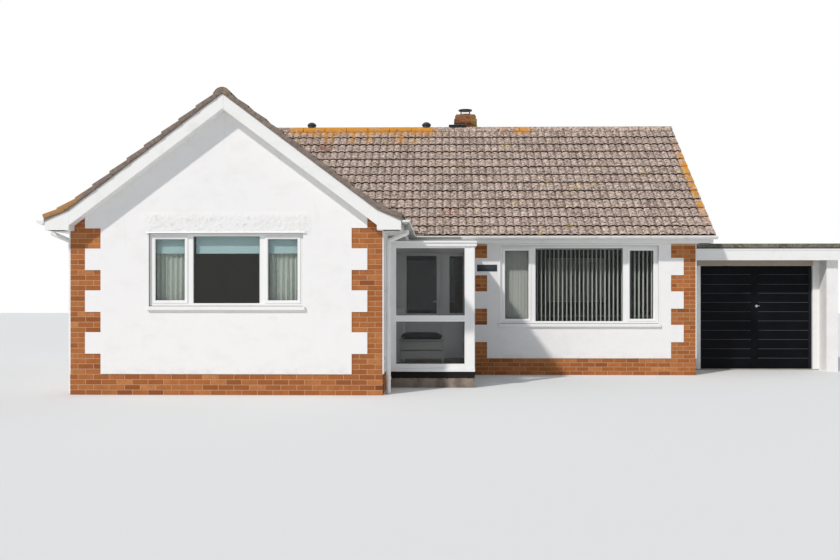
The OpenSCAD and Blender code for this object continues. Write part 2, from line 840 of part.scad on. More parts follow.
module roof_vents() {
    color("black") {
        over_stack(0) chimney_cowl();
        for (x = [vent_x, far_vent_x])
            translate([x, ridge_y, main_top(ridge_y) + ridge_rise]) ridge_vent();
    }
}

// Windows: openings for the glass in a frame of width w and height h
function three_lights(w, h) = [
    [frame_w + sash_w, frame_w + sash_w, side_glass_w, h - 2 * (frame_w + sash_w)],
    [frame_w + 2 * sash_w + side_glass_w + mullion_w, frame_w,
        w - 2 * (frame_w + 2 * sash_w + side_glass_w + mullion_w), h - 2 * frame_w],
    [w - frame_w - sash_w - side_glass_w, frame_w + sash_w, side_glass_w,
        h - 2 * (frame_w + sash_w)]
];
function two_lights(w, h) = [
    for (side = [0, 1])
        [side == 0 ? frame_w + sash_w : (w + mullion_w) / 2 + sash_w, frame_w + sash_w,
            (w - mullion_w) / 2 - frame_w - 2 * sash_w, h - 2 * (frame_w + sash_w)]
];
module light_boxes(x, h, lights, y0, y1) {
    for (light = lights)
        translate([x + light[0], y0, head_z - h + light[1]]) cube([light[2], y1 - y0, light[3]]);
}
module window_frame(x, w, h, lights) {
    difference() {
        box(x, x + w, frame_in, frame_in + frame_d, head_z - h, head_z);
        light_boxes(x, h, lights, frame_in - overrun, frame_in + frame_d + overrun);
    }
}
module glass_panes(x, h, lights) {
    middle = frame_in + frame_d / 2;
    light_boxes(x, h, lights, middle - glass_t / 2, middle + glass_t / 2);
}
wing_lights = three_lights(wing_window_w, wing_window_h);
main_lights = three_lights(main_window_w, main_window_h);
rear_lights = [
    two_lights(rear_window_w, rear_window_h),
    three_lights(wing_window_w, rear_window_h),
    two_lights(rear_window_w, rear_window_h)
];
module wing_window() {
    color("white") translate([0, -wing_proj, 0])
        window_frame(wing_window_x, wing_window_w, wing_window_h, wing_lights);
}
module main_window() {
    color("white") window_frame(main_window_x, main_window_w, main_window_h, main_lights);
}
module rear_windows() {
    color("white") mirror_y(ridge_y) for (i = [0 : 2])
        window_frame(rear_window_xs[i], rear_window_ws[i], rear_window_h, rear_lights[i]);
}
module window_glass() {
    color("lightblue") {
        translate([0, -wing_proj, 0]) glass_panes(wing_window_x, wing_window_h, wing_lights);
        glass_panes(main_window_x, main_window_h, main_lights);
        mirror_y(ridge_y) for (i = [0 : 2])
            glass_panes(rear_window_xs[i], rear_window_h, rear_lights[i]);
        box(side_x, door_end_x - jamb_w, door_in + (jamb_d - glass_t) / 2,
            door_in + (jamb_d + glass_t) / 2, door_glass_z, door_glass_z + door_glass_h);
    }
}

// Roller blinds and side curtains in the wing window, and slats all across the main window
blind_y = frame_in + frame_d + blind_gap;
module hung(x, w, y, t, z) {
    box(x, x + w, y, y + t, z, head_z - blind_gap);
}
module window_blinds() {
    curtain_y = blind_y + roller_t + blind_gap;
    curtain_w = frame_w + 2 * sash_w + side_glass_w;
    curtain_z = head_z - wing_window_h + blind_gap;
    side_x1 = wing_window_x + wing_window_w - curtain_w;
    color("darkseagreen") {
        translate([0, -wing_proj, 0]) {
            for (light = wing_lights)
                hung(wing_window_x + light[0], light[2], blind_y, roller_t, head_z - roller_drop);
            for (x = [wing_window_x, side_x1])
                hung(x + blind_gap, curtain_w - 2 * blind_gap, curtain_y, blind_t, curtain_z);
        }
        hung(main_window_x + blind_gap, main_window_w - 2 * blind_gap, blind_y, 2 * blind_t,
            head_z - main_window_h + blind_gap);
    }
}

module sill(x, w, h) {
    bottom = head_z - h - sill_h;
    box(x, x + w, -render_t, frame_in + frame_d, bottom, bottom + sill_h);
    box(x - sill_side, x + w + sill_side, -render_t - sill_out, -render_t, bottom,
        bottom + sill_h);
}
module window_sills() {
    color("white") {
        translate([0, -wing_proj, 0]) sill(wing_window_x, wing_window_w, wing_window_h);
        sill(main_window_x, main_window_w, main_window_h);
        for (i = [0 : 2])
            mirror_y(ridge_y) sill(rear_window_xs[i], rear_window_ws[i], rear_window_h);
    }
}

// Front door, hung at its left edge and opening inwards
leaf_y = door_in + jamb_d - leaf_t;
door_glass_z = leaf_z + leaf_h - stile_w - door_glass_h;
side_x = leaf_x + leaf_w + leaf_gap + door_post_w;
hinge_x = leaf_x - leaf_gap / 2;
hinge_y = leaf_y + leaf_t + knuckle_d / 2;
hinge_zs = [leaf_z + hinge_in, leaf_z + leaf_h / 2, leaf_z + leaf_h - hinge_in];
module knuckle(z, h, side) {
    translate([hinge_x, hinge_y, z]) cylinder(d = knuckle_d, h = h);
    plate_x = side < 0 ? -hinge_plate_w : 0;
    translate([hinge_x + plate_x, leaf_y + leaf_t, z]) cube([hinge_plate_w, hinge_plate_t, h]);
}
module hinge_pins(d) {
    for (z = hinge_zs)
        translate([hinge_x, hinge_y, z - knuckle_h / 2 - end_knuckle_h])
            cylinder(d = d, h = knuckle_h + 2 * end_knuckle_h);
}
module door_frame() {
    head = leaf_z + leaf_h + leaf_gap;
    color("white") {
        difference() {
            box(door_x, door_end_x, door_in, door_in + jamb_d, floor_z, doorway_z);
            box(leaf_x - leaf_gap + stop_w, leaf_x + leaf_w + leaf_gap - stop_w,
                door_in - overrun, door_in + jamb_d + overrun, leaf_z - leaf_gap, head - stop_w);
            box(leaf_x - leaf_gap, leaf_x + leaf_w + leaf_gap, leaf_y - leaf_gap,
                door_in + jamb_d + overrun, leaf_z - leaf_gap, head);
            box(side_x, door_end_x - jamb_w, door_in - overrun, door_in + jamb_d + overrun,
                door_glass_z, door_glass_z + door_glass_h);
        }
        hinge_pins(hinge_pin_d);
        for (z = hinge_zs) {
            knuckle(z - knuckle_h / 2 - end_knuckle_h, end_knuckle_h - knuckle_gap, -1);
            knuckle(z + knuckle_h / 2 + knuckle_gap, end_knuckle_h - knuckle_gap, -1);
        }
    }
}
module front_door() {
    color("white") {
        difference() {
            box(leaf_x, leaf_x + leaf_w, leaf_y, leaf_y + leaf_t, leaf_z, leaf_z + leaf_h);
            box(leaf_x + stile_w, leaf_x + leaf_w - stile_w, leaf_y - overrun,
                leaf_y + leaf_t + overrun, door_glass_z, door_glass_z + door_glass_h);
        }
        difference() {
            for (z = hinge_zs)
                knuckle(z - knuckle_h / 2, knuckle_h, 1);
            hinge_pins(hinge_pin_d + pin_gap);
        }
        handle_pair();
    }
}
module door_handle() {
    translate([-handle_plate_w / 2, -handle_plate_t, -handle_plate_h / 2])
        cube([handle_plate_w, handle_plate_t, handle_plate_h]);
    translate([0, -handle_plate_t, 0]) rotate([90, 0, 0])
        cylinder(d = lever_t, h = lever_out - lever_t);
    translate([lever_t / 2 - lever_w, -handle_plate_t - lever_out, -lever_t / 2])
        cube([lever_w, lever_t, lever_t]);
}
module handle_pair() {
    translate([leaf_x + leaf_w - stile_w / 2, leaf_y, floor_z + handle_h]) {
        door_handle();
        translate([0, leaf_t, 0]) mirror([0, 1, 0]) door_handle();
    }
}
module door_glass() {
    middle = leaf_y + (leaf_t - glass_t) / 2;
    color("darkslategray") box(leaf_x + stile_w, leaf_x + leaf_w - stile_w, middle,
        middle + glass_t, door_glass_z, door_glass_z + door_glass_h);
}

// Porch: a glazed front and right side under a flat roof
porch_end_x = porch_x + porch_w;
module porch_base() {
    color("gray") box(wing_w, porch_end_x, -porch_proj, 0, base_z, porch_floor_z);
}
upper_z = mid_rail_z + mid_rail_h;
top_rail_z = porch_top_z - top_rail_h;
low_glass_z = porch_floor_z + bottom_rail_h;
front_glass_x = porch_x + wing_post_w;
front_glass_end = porch_end_x - corner_post_w;
side_glass_y = -porch_proj + corner_post_w;
module porch_holes(t) {
    for (z = [[low_glass_z, mid_rail_z], [upper_z, top_rail_z]]) {
        box(front_glass_x, front_glass_end, -porch_proj + (screen_t - t) / 2,
            -porch_proj + (screen_t + t) / 2, z[0], z[1]);
        side_x0 = porch_end_x - (screen_t + t) / 2;
        for (y = [[side_glass_y, -side_post_in - side_post_w], [-side_post_in, -side_post_w]])
            box(side_x0, side_x0 + t, y[0], y[1], z[0], z[1]);
    }
}
module porch_frame() {
    color("white") difference() {
        union() {
            box(porch_x, porch_end_x, -porch_proj, -porch_proj + screen_t, porch_floor_z,
                porch_top_z);
            box(porch_end_x - screen_t, porch_end_x, -porch_proj, 0, porch_floor_z, porch_top_z);
        }
        porch_holes(screen_t + 2 * overrun);
    }
}
module porch_glass() {
    color("lightblue") porch_holes(glass_t);
}
module porch_roof() {
    color("white") box(porch_x, porch_end_x + porch_eaves, -porch_proj - porch_eaves, 0,
        porch_top_z, porch_top_z + porch_roof_t);
}
bench_x = front_glass_x + screen_t - bench_bar;
bench_y = -porch_proj + screen_t + bench_bar;
seat_z = porch_floor_z + bench_h;
module porch_bench() {
    color("white") {
        for (x = [bench_x, bench_x + bench_w - bench_bar])
            box(x, x + bench_bar, bench_y, bench_y + bench_d, porch_floor_z, seat_z - bench_bar);
        box(bench_x, bench_x + bench_w, bench_y, bench_y + bench_d, seat_z - bench_bar, seat_z);
        for (z = [shelf_z, 2 * shelf_z])
            box(bench_x + bench_bar, bench_x + bench_w - bench_bar, bench_y, bench_y + bench_d,
                porch_floor_z + z, porch_floor_z + z + bench_bar / 2);
    }
}
module bench_cushion() {
    color("darkslategray") box(bench_x + bench_bar / 2, bench_x + bench_w - bench_bar,
        bench_y + bench_bar / 2, bench_y + bench_d - bench_bar / 2, seat_z, seat_z + cushion_h);
}

// Garage at the right, with its up and over door
garage_x = main_len + render_t;
garage_under_z = garage_top_z - garage_roof_t;
module garage_floor() {
    color("gray") box(garage_x, party_x, gate_front_y, garage_back - garage_wall_t, base_z,
        -garage_drop);
}
module garage_walls() {
    color("white") {
        box(garage_x, gate_x - gate_gap - gate_jamb_w, gate_front_y, garage_door_y + garage_wall_t,
            -garage_drop, garage_under_z);
        box(garage_x, party_x, garage_back - garage_wall_t, garage_back, base_z, garage_under_z);
    }
}
module garage_party_wall() {
    color("white") box(party_x, house_right, party_end_y, garage_back, base_z, garage_under_z);
}
module garage_roof() {
    color("dimgray") box(garage_x, house_right, garage_fascia_y + board_t,
        garage_back + board_t, garage_under_z, garage_top_z);
}
module garage_fascia() {
    color("white") {
        box(garage_x, house_right, garage_fascia_y, garage_fascia_y + board_t,
            garage_top_z - felt_h - garage_fascia_h, garage_top_z - felt_h);
        box(garage_x, house_right, garage_fascia_y + board_t, party_end_y,
            garage_under_z - soffit_t, garage_under_z);
    }
}
gate_jambs = [
    [gate_x - gate_gap - gate_jamb_w, gate_x - gate_gap],
    [gate_x + gate_w + gate_gap, party_x]
];
pin_xs = [gate_jambs[0][1], gate_jambs[1][0] - pin_len];
module gate_axle(x, d, h) {
    translate([x, gate_axis_y, gate_axis_z]) rotate([0, 90, 0]) cylinder(d = d, h = h);
}
module garage_frame() {
    color("white") {
        for (jamb = gate_jambs) {
            box(jamb[0], jamb[1], gate_front_y, gate_front_y + gate_jamb_d, -garage_drop,
                gate_head_z);
            box(jamb[0], jamb[1], gate_front_y + gate_jamb_d, gate_axis_y + bracket_w / 2,
                gate_axis_z - bracket_w / 2, gate_axis_z + bracket_w / 2);
        }
        box(gate_jambs[0][0], party_x, gate_front_y, gate_front_y + gate_head_t, gate_head_z,
            garage_under_z);
        for (x = pin_xs)
            gate_axle(x, pin_d, pin_len);
    }
}
module garage_door() {
    color("black") difference() {
        union() {
            box(gate_x, gate_x + gate_w, garage_door_y, garage_door_y + gate_t, gate_z,
                gate_z + gate_h);
            for (x = [gate_x, gate_x + gate_w - arm_t]) {
                box(x, x + arm_t, garage_door_y + gate_t, gate_axis_y, gate_axis_z - arm_w / 2,
                    gate_axis_z + arm_w / 2);
                gate_axle(x, arm_w, arm_t);
            }
        }
        gate_axle(gate_x - overrun, pin_d + pin_gap, gate_w + 2 * overrun);
    }
}

module place() {
    translate([-frame_x, -frame_y, -base_z]) children();
}
place() floor_slab();
place() wing_front_wall();
place() wing_left_wall();
place() wing_right_wall();
place() main_left_wall();
place() main_right_wall();
place() rear_wall();
place() front_wall();
place() doorway_lintel();
place() front_render();
place() side_render();
place() rear_render();
place() ceiling();
place() main_roof();
place() wing_roof();
place() ridge_tiles();
place() bargeboards();
place() fascias();
place() soffits();
place() gutters();
place() downpipes();
place() chimney();
place() roof_vents();
place() wing_window();
place() main_window();
place() rear_windows();
place() window_glass();
place() window_blinds();
place() window_sills();
place() door_frame();
place() front_door();
place() door_glass();
place() porch_base();
place() porch_frame();
place() porch_glass();
place() porch_roof();
place() porch_bench();
place() bench_cushion();
place() garage_floor();
place() garage_walls();
place() garage_party_wall();
place() garage_roof();
place() garage_fascia();
place() garage_frame();
place() garage_door();
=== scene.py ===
"""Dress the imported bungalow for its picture.

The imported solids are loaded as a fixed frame. Roof tiles, bricks, window profiles, blinds and
fittings are modelled over them, every solid gets its finish, and a camera stands where the
photograph was taken. All sizes are metres. The house is measured from its own corner: X from
the outside of the left wall, Y from the front wall of the main range, Z from the ground.
"""

from __future__ import annotations

import logging
import math
import random
from collections.abc import Callable, Iterable, Sequence
from dataclasses import dataclass, field
from enum import Enum
from typing import Any, Protocol

import bmesh
import bpy
from mathutils import Matrix, Vector


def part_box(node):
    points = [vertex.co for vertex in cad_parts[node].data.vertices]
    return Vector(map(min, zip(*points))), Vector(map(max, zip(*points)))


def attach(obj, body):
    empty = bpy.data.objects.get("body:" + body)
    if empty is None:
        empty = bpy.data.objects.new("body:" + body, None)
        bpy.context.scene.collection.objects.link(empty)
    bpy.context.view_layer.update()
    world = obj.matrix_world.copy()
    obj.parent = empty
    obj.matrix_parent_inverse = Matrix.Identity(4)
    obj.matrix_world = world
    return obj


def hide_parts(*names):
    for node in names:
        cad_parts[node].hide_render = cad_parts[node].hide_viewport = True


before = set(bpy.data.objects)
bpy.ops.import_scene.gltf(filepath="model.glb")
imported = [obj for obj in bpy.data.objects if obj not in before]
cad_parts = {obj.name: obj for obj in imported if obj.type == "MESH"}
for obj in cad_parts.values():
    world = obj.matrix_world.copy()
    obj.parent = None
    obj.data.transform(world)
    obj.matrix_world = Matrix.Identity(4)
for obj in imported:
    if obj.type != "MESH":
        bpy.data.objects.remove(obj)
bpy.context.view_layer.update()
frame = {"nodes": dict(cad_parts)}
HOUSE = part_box("main_left_wall")[0] + Vector((0.0, 0.0, 0.150))
LOG = logging.getLogger("bungalow")

Point = tuple[float, float, float]
Material = bpy.types.Material
Mesh = bpy.types.Mesh
Object = bpy.types.Object
Socket = bpy.types.NodeSocket


class Body(Enum):
    """The bodies that a piece can ride on."""

    HOUSE = "house"
    FRONT_DOOR = "front_door_leaf"
    GARAGE_DOOR = "garage_door_leaf"


class Slot(Enum):
    """The record's material slots."""

    CONCRETE = "concrete"
    BRICK = "brick"
    RENDER = "render"
    TILE = "roof_tile"
    BOARD = "white_board"
    FRAME = "white_frame"
    GLASS = "glass"
    COWL = "cowl_black"
    BENCH = "bench_white"
    BLIND = "blind_cloth"
    CUSHION = "cushion_cloth"
    GARAGE_WALL = "garage_wall"
    FELT = "roof_felt"
    STEEL = "garage_steel"


def once(items: Iterable[Any]) -> list[Any]:
    """Return the items in their order, each of them once."""
    return list(dict.fromkeys(items))


def linear(code: str) -> tuple[float, float, float, float]:
    """Turn a written colour such as "#a0b0c0" into linear red, green, blue and alpha.

    Args:
        code: The colour as six hexadecimal digits after a hash.

    Returns:
        The linear colour with an alpha of 1.
    """
    parts = [int(code[at:at + 2], 16) / 255.0 for at in (1, 3, 5)]
    made = [part / 12.92 if part <= 0.04045 else ((part + 0.055) / 1.055) ** 2.4 for part in parts]
    return (made[0], made[1], made[2], 1.0)


class Wiring:
    """The nodes of one material, wired step by step in the house's own metres."""

    def __init__(self, name: str, roughness: float = 0.6, specular: float = 0.5) -> None:
        """Start a material.

        Args:
            name: The material's name.
            roughness: The roughness where no node drives it.
            specular: The specular level.
        """
        self.material = bpy.data.materials.new(name)
        self.material.use_nodes = True
        self.nodes = self.material.node_tree.nodes
        self.links = self.material.node_tree.links
        self.shader = self.nodes["Principled BSDF"]
        self.shader.inputs["Roughness"].default_value = roughness
        self.shader.inputs["Specular IOR Level"].default_value = specular
        coordinates = self.nodes.new("ShaderNodeTexCoord")
        centre = self.nodes.new("ShaderNodeMapping")
        centre.inputs["Location"].default_value = -HOUSE
        self.links.new(coordinates.outputs["Object"], centre.inputs["Vector"])
        self.place = centre.outputs["Vector"]
        self.skin: object = None
        self.axes = self.nodes.new("ShaderNodeSeparateXYZ")
        self.links.new(self.place, self.axes.inputs["Vector"])

    def _feed(self, socket: Socket, value: object) -> None:
        """Link a socket to another, or set its plain value."""
        if isinstance(value, Socket):
            self.links.new(value, socket)
        elif isinstance(value, str):
            socket.default_value = linear(value)
        else:
            socket.default_value = value

    def axis(self, name: str) -> Socket:
        """Return the house coordinate along X, Y or Z."""
        return self.axes.outputs[name]

    def noise(self, scale: float, detail: float = 4.0, roughness: float = 0.55,
              stretch: Point = (1.0, 1.0, 1.0)) -> Socket:
        """Return a noise value around 0.5.

        Args:
            scale: Spots to the metre.
            detail: Octaves.
            roughness: How strong the finer octaves are.
            stretch: Factors on the three axes.

        Returns:
            The noise's value.
        """
        shift = self.nodes.new("ShaderNodeMapping")
        shift.inputs["Scale"].default_value = stretch
        self.links.new(self.place, shift.inputs["Vector"])
        made = self.nodes.new("ShaderNodeTexNoise")
        made.inputs["Scale"].default_value = scale
        made.inputs["Detail"].default_value = detail
        made.inputs["Roughness"].default_value = roughness
        self.links.new(shift.outputs["Vector"], made.inputs["Vector"])
        return made.outputs["Fac"]

    def value_of(self, name: str) -> Socket:
        """Return a face value that the mesh carries."""
        made = self.nodes.new("ShaderNodeAttribute")
        made.attribute_name = name
        return made.outputs["Fac"]

    def calc(self, operation: str, first: object, second: object = 0.0) -> Socket:
        """Return the result of one sum.

        Args:
            operation: The Math node's operation.
            first: A socket or a number.
            second: A socket or a number.

        Returns:
            The result.
        """
        made = self.nodes.new("ShaderNodeMath")
        made.operation = operation
        self._feed(made.inputs[0], first)
        self._feed(made.inputs[1], second)
        return made.outputs["Value"]

    def times(self, first: object, second: object) -> Socket:
        """Return the product of two values."""
        return self.calc("MULTIPLY", first, second)

    def step(self, value: Socket, low: float, high: float) -> Socket:
        """Return a smooth rise from 0 at low to 1 at high, or a fall where low is the greater."""
        made = self.nodes.new("ShaderNodeMapRange")
        made.interpolation_type = "SMOOTHSTEP"
        falls = low > high
        made.inputs["From Min"].default_value = min(low, high)
        made.inputs["From Max"].default_value = max(low, high)
        made.inputs["To Min"].default_value = 1.0 if falls else 0.0
        made.inputs["To Max"].default_value = 0.0 if falls else 1.0
        self.links.new(value, made.inputs["Value"])
        return made.outputs["Result"]

    def band(self, value: Socket, low: float, high: float, soft: float = 0.01) -> Socket:
        """Return 1 between two bounds and 0 outside them.

        Args:
            value: The value that is tested.
            low: The lower bound.
            high: The upper bound.
            soft: The width of each bound's blur.

        Returns:
            The mask.
        """
        rise = self.step(value, low - soft, low + soft)
        fall = self.step(value, high + soft, high - soft)
        return self.times(rise, fall)

    def all_of(self, *masks: Socket) -> Socket:
        """Return the product of several masks."""
        made = masks[0]
        for mask in masks[1:]:
            made = self.times(made, mask)
        return made

    def any_of(self, *masks: Socket) -> Socket:
        """Return the greatest of several masks."""
        made = masks[0]
        for mask in masks[1:]:
            made = self.calc("MAXIMUM", made, mask)
        return made

    def ramp(self, value: Socket, *stops: tuple[float, str]) -> Socket:
        """Return a colour that follows a value.

        Args:
            value: The value, from 0 to 1.
            *stops: Pairs of a place on the ramp and a written colour.

        Returns:
            The colour.
        """
        made = self.nodes.new("ShaderNodeValToRGB")
        points = made.color_ramp.elements
        while len(points) < len(stops):
            points.new(0.5)
        for point, (place, code) in zip(points, sorted(stops)):
            point.position = place
            point.color = linear(code)
        self.links.new(value, made.inputs["Fac"])
        return made.outputs["Color"]

    def mix(self, factor: object, first: object, second: object, mode: str = "MIX") -> Socket:
        """Return one colour laid over another.

        Args:
            factor: How much of the second shows.
            first: The colour beneath.
            second: The colour on top.
            mode: The Mix node's blend type.

        Returns:
            The mixed colour.
        """
        made = self.nodes.new("ShaderNodeMix")
        made.data_type = "RGBA"
        made.blend_type = mode
        self._feed(made.inputs[0], factor)
        self._feed(made.inputs[6], first)
        self._feed(made.inputs[7], second)
        return made.outputs[2]

    def colour(self, value: object) -> None:
        """Set the base colour."""
        self.skin = value
        self._feed(self.shader.inputs["Base Color"], value)

    def over(self, mask: Socket, code: object, amount: float = 1.0) -> None:
        """Lay a colour over the base colour.

        Args:
            mask: Where it shows, from 0 to 1.
            code: The colour.
            amount: How strongly it shows there.
        """
        share = mask if amount == 1.0 else self.times(mask, amount)
        self.colour(self.mix(share, self.skin, code))

    def set(self, name: str, value: object) -> None:
        """Set one of the shader's own sockets."""
        self._feed(self.shader.inputs[name], value)

    def relief(self, *heights: tuple[Socket, float]) -> None:
        """Lay one bump over another.

        Args:
            *heights: Pairs of a height from 0 to 1 and its real depth in metres.
        """
        normal = None
        for height, depth in heights:
            bump = self.nodes.new("ShaderNodeBump")
            bump.inputs["Strength"].default_value = 1.0
            bump.inputs["Distance"].default_value = depth
            self.links.new(height, bump.inputs["Height"])
            if normal is not None:
                self.links.new(normal, bump.inputs["Normal"])
            normal = bump.outputs["Normal"]
        if normal is not None:
            self.links.new(normal, self.shader.inputs["Normal"])


@dataclass(frozen=True)
class TileFinish:
    """Weathered concrete roof tiles: speckled, with painted shade in the roll channels, a painted shadow under
    each nose, and lichen.
    """

    name: str = "weathered_roof_tile"
    pale: str = "#c4afa2"
    middle: str = "#aa968a"
    dark: str = "#7e6c60"
    red: str = "#9c6c58"
    speck: str = "#382b23"
    chalk: str = "#ead9cb"
    channel_shade: str = "#43342b"
    gap: str = "#1f1713"
    verge: str = "#776b62"
    orange: str = "#d6901d"
    rust: str = "#b5854a"
    yellow: str = "#c9ae3a"

    def make(self) -> Material:
        """Wire the material and return it."""
        kit = Wiring(self.name, roughness=0.88, specular=0.25)
        x, y, z = kit.axis("X"), kit.axis("Y"), kit.axis("Z")
        edge, fine = kit.value_of("edge"), kit.noise(21.0, 5.0, 0.78)
        kit.colour(kit.ramp(kit.value_of("tone"), (0.0, self.dark), (0.35, self.middle),
                            (0.75, self.pale), (0.92, self.pale), (0.97, self.red)))
        kit.over(kit.step(kit.noise(8.0, 5.0, 0.6), 0.42, 0.66), self.dark, 0.4)
        kit.over(kit.step(fine, 0.48, 0.40), self.chalk, 0.85)
        kit.over(kit.step(fine, 0.52, 0.58), self.speck, 0.8)
        # Painted shade: the channel colour darkens the roll channels and the marked ends of ridge tiles and
        # verge bars; the gap colour paints the shadow under each tile's nose, together with the nose's dirt.
        kit.over(edge, self.channel_shade, 0.85)
        kit.over(kit.step(edge, 0.75, 0.85), self.gap)
        kit.over(kit.step(y, -3.835, -3.862), self.verge, 0.85)
        ridge_left = kit.all_of(kit.band(x, 2.20, 5.20, 0.12), kit.step(z, 4.58, 4.72),
                                kit.step(kit.noise(9.0, 5.0, 0.65), 0.34, 0.46))
        runs = kit.all_of(kit.band(x, 2.20, 5.15, 0.35), kit.step(z, 4.30, 4.62),
                          kit.step(kit.noise(9.0, 4.0, 0.6, (1.0, 0.25, 0.25)), 0.50, 0.60))
        spots = kit.all_of(kit.band(x, 6.65, 7.20, 0.15), kit.step(z, 4.58, 4.74),
                           kit.step(kit.noise(6.0, 4.0, 0.6), 0.40, 0.50))
        verge = kit.all_of(kit.step(x, 10.00, 10.08), kit.band(z, 2.75, 4.25, 0.30),
                           kit.step(kit.noise(8.0, 5.0, 0.6), 0.40, 0.52))
        foot = kit.all_of(kit.step(x, 0.34, 0.10), kit.step(y, -3.45, -3.72),
                          kit.step(kit.noise(9.0, 4.0), 0.30, 0.45))
        loose = kit.all_of(kit.step(kit.noise(2.3, 3.0), 0.62, 0.70),
                           kit.step(kit.noise(30.0, 3.0), 0.46, 0.58))
        kit.over(kit.any_of(ridge_left, runs, spots, verge), self.orange, 0.88)
        kit.over(foot, self.rust, 0.8)
        kit.over(loose, self.yellow, 0.5)
        kit.relief((kit.noise(9.0, 3.0), 0.004), (fine, 0.0035))
        return kit.material


@dataclass(frozen=True)
class BrickFinish:
    """Facing brick, each one fired a little differently."""

    name: str = "orange_facing_brick"
    deep: str = "#8a502d"
    warm: str = "#af6a39"
    light: str = "#c78752"
    burnt: str = "#6f4029"

    def make(self) -> Material:
        """Wire the material and return it."""
        kit = Wiring(self.name, roughness=0.9, specular=0.2)
        grit = kit.noise(240.0, 3.0, 0.7)
        kit.colour(kit.ramp(kit.value_of("tone"), (0.0, self.burnt), (0.14, self.deep),
                            (0.5, self.warm), (1.0, self.light)))
        kit.over(kit.step(kit.noise(11.0, 4.0, 0.6), 0.3, 0.75), self.deep, 0.4)
        kit.over(kit.step(grit, 0.58, 0.68), self.burnt, 0.35)
        kit.relief((kit.noise(60.0, 4.0, 0.65), 0.003), (grit, 0.0015))
        return kit.material


@dataclass(frozen=True)
class MortarFinish:
    """Pale sandy mortar."""

    name: str = "sand_mortar"
    pale: str = "#cda682"
    dark: str = "#a58060"

    def make(self) -> Material:
        """Wire the material and return it."""
        kit = Wiring(self.name, roughness=0.95, specular=0.15)
        grain = kit.noise(130.0, 4.0, 0.7)
        kit.colour(kit.ramp(grain, (0.3, self.dark), (0.6, self.pale)))
        kit.over(kit.step(kit.noise(5.0, 4.0), 0.4, 0.75), self.dark, 0.4)
        kit.relief((grain, 0.003), (kit.noise(24.0, 3.0), 0.006))
        return kit.material


@dataclass(frozen=True)
class WallFinish:
    """A wall's own faces: mortar behind the bricks, plaster inside and elsewhere."""

    name: str = "wall_faces"
    mortar: str = "#cca581"
    mortar_dark: str = "#a37e5f"
    plaster: str = "#a8a59d"

    def make(self) -> Material:
        """Wire the material and return it."""
        kit = Wiring(self.name, roughness=0.92, specular=0.2)
        x, y, z = kit.axis("X"), kit.axis("Y"), kit.axis("Z")
        grain = kit.noise(130.0, 4.0, 0.7)
        mortar = kit.ramp(grain, (0.3, self.mortar_dark), (0.6, self.mortar))
        plinth = kit.step(z, 0.165, 0.155)
        left = kit.step(x, 0.455, 0.445)
        wing_right = kit.all_of(kit.band(x, 4.040, 4.600), kit.step(y, -3.2, -3.3))
        doorway = kit.band(x, 5.700, 6.175)
        right = kit.step(x, 9.435, 9.445)
        zones = kit.any_of(plinth, left, wing_right, doorway, right)
        wing_room = kit.all_of(kit.band(x, 0.14, 4.35), kit.band(y, -3.46, 5.70))
        main_room = kit.all_of(kit.band(x, 0.14, 9.75), kit.band(y, 0.14, 5.70))
        inside = kit.any_of(wing_room, main_room)
        outside = kit.calc("SUBTRACT", 1.0, inside)
        mask = kit.all_of(zones, outside)
        kit.colour(kit.mix(mask, self.plaster, mortar))
        kit.relief((grain, 0.003), (kit.noise(24.0, 3.0), 0.004))
        return kit.material


@dataclass(frozen=True)
class RenderFinish:
    """Trowelled render, painted a warm white, rough over the wing's window."""

    name: str = "trowelled_white_render"
    paint: str = "#f1f0ef"
    shade: str = "#e7e5e3"
    dirt: str = "#bbb6ae"

    def make(self) -> Material:
        """Wire the material and return it."""
        kit = Wiring(self.name, roughness=0.85, specular=0.25)
        x, z = kit.axis("X"), kit.axis("Z")
        sweep, rough = kit.noise(3.4, 4.0, 0.6, (1.0, 1.0, 1.5)), kit.noise(15.0, 5.0, 0.65)
        kit.colour(kit.mix(kit.times(kit.step(sweep, 0.45, 0.80), 0.5), self.paint, self.shade))
        low = kit.all_of(kit.step(z, 0.30, 0.15), kit.step(kit.noise(9.0, 5.0, 0.65), 0.42, 0.7))
        kit.over(low, self.dirt, 0.25)
        streak = kit.all_of(kit.step(kit.noise(8.0, 4.0, 0.6, (1.0, 1.0, 0.12)), 0.58, 0.74),
                            kit.step(z, 1.2, 2.4))
        kit.over(streak, self.dirt, 0.08)
        patch = kit.all_of(kit.band(x, 1.05, 3.45, 0.10), kit.band(z, 2.17, 2.44, 0.05))
        kit.over(kit.all_of(patch, kit.step(rough, 0.56, 0.70)), self.dirt, 0.35)
        lumps = kit.times(rough, kit.calc("ADD", kit.times(patch, 3.0), 0.6))
        kit.relief((sweep, 0.004), (lumps, 0.006), (kit.noise(110.0, 3.0, 0.7), 0.0012))
        return kit.material


@dataclass(frozen=True)
class PaintedFinish:
    """White plastic or painted board with a trace of dirt."""

    name: str
    base: str = "#eeeeec"
    dirt: str = "#c6c3ba"
    amount: float = 0.25
    roughness: float = 0.38

    def make(self) -> Material:
        """Wire the material and return it."""
        kit = Wiring(self.name, roughness=self.roughness, specular=0.45)
        kit.colour(self.base)
        kit.over(kit.step(kit.noise(4.0, 5.0, 0.65), 0.48, 0.78), self.dirt, self.amount)
        kit.relief((kit.noise(2.2, 2.0), 0.002), (kit.noise(300.0, 2.0), 0.0002))
        return kit.material


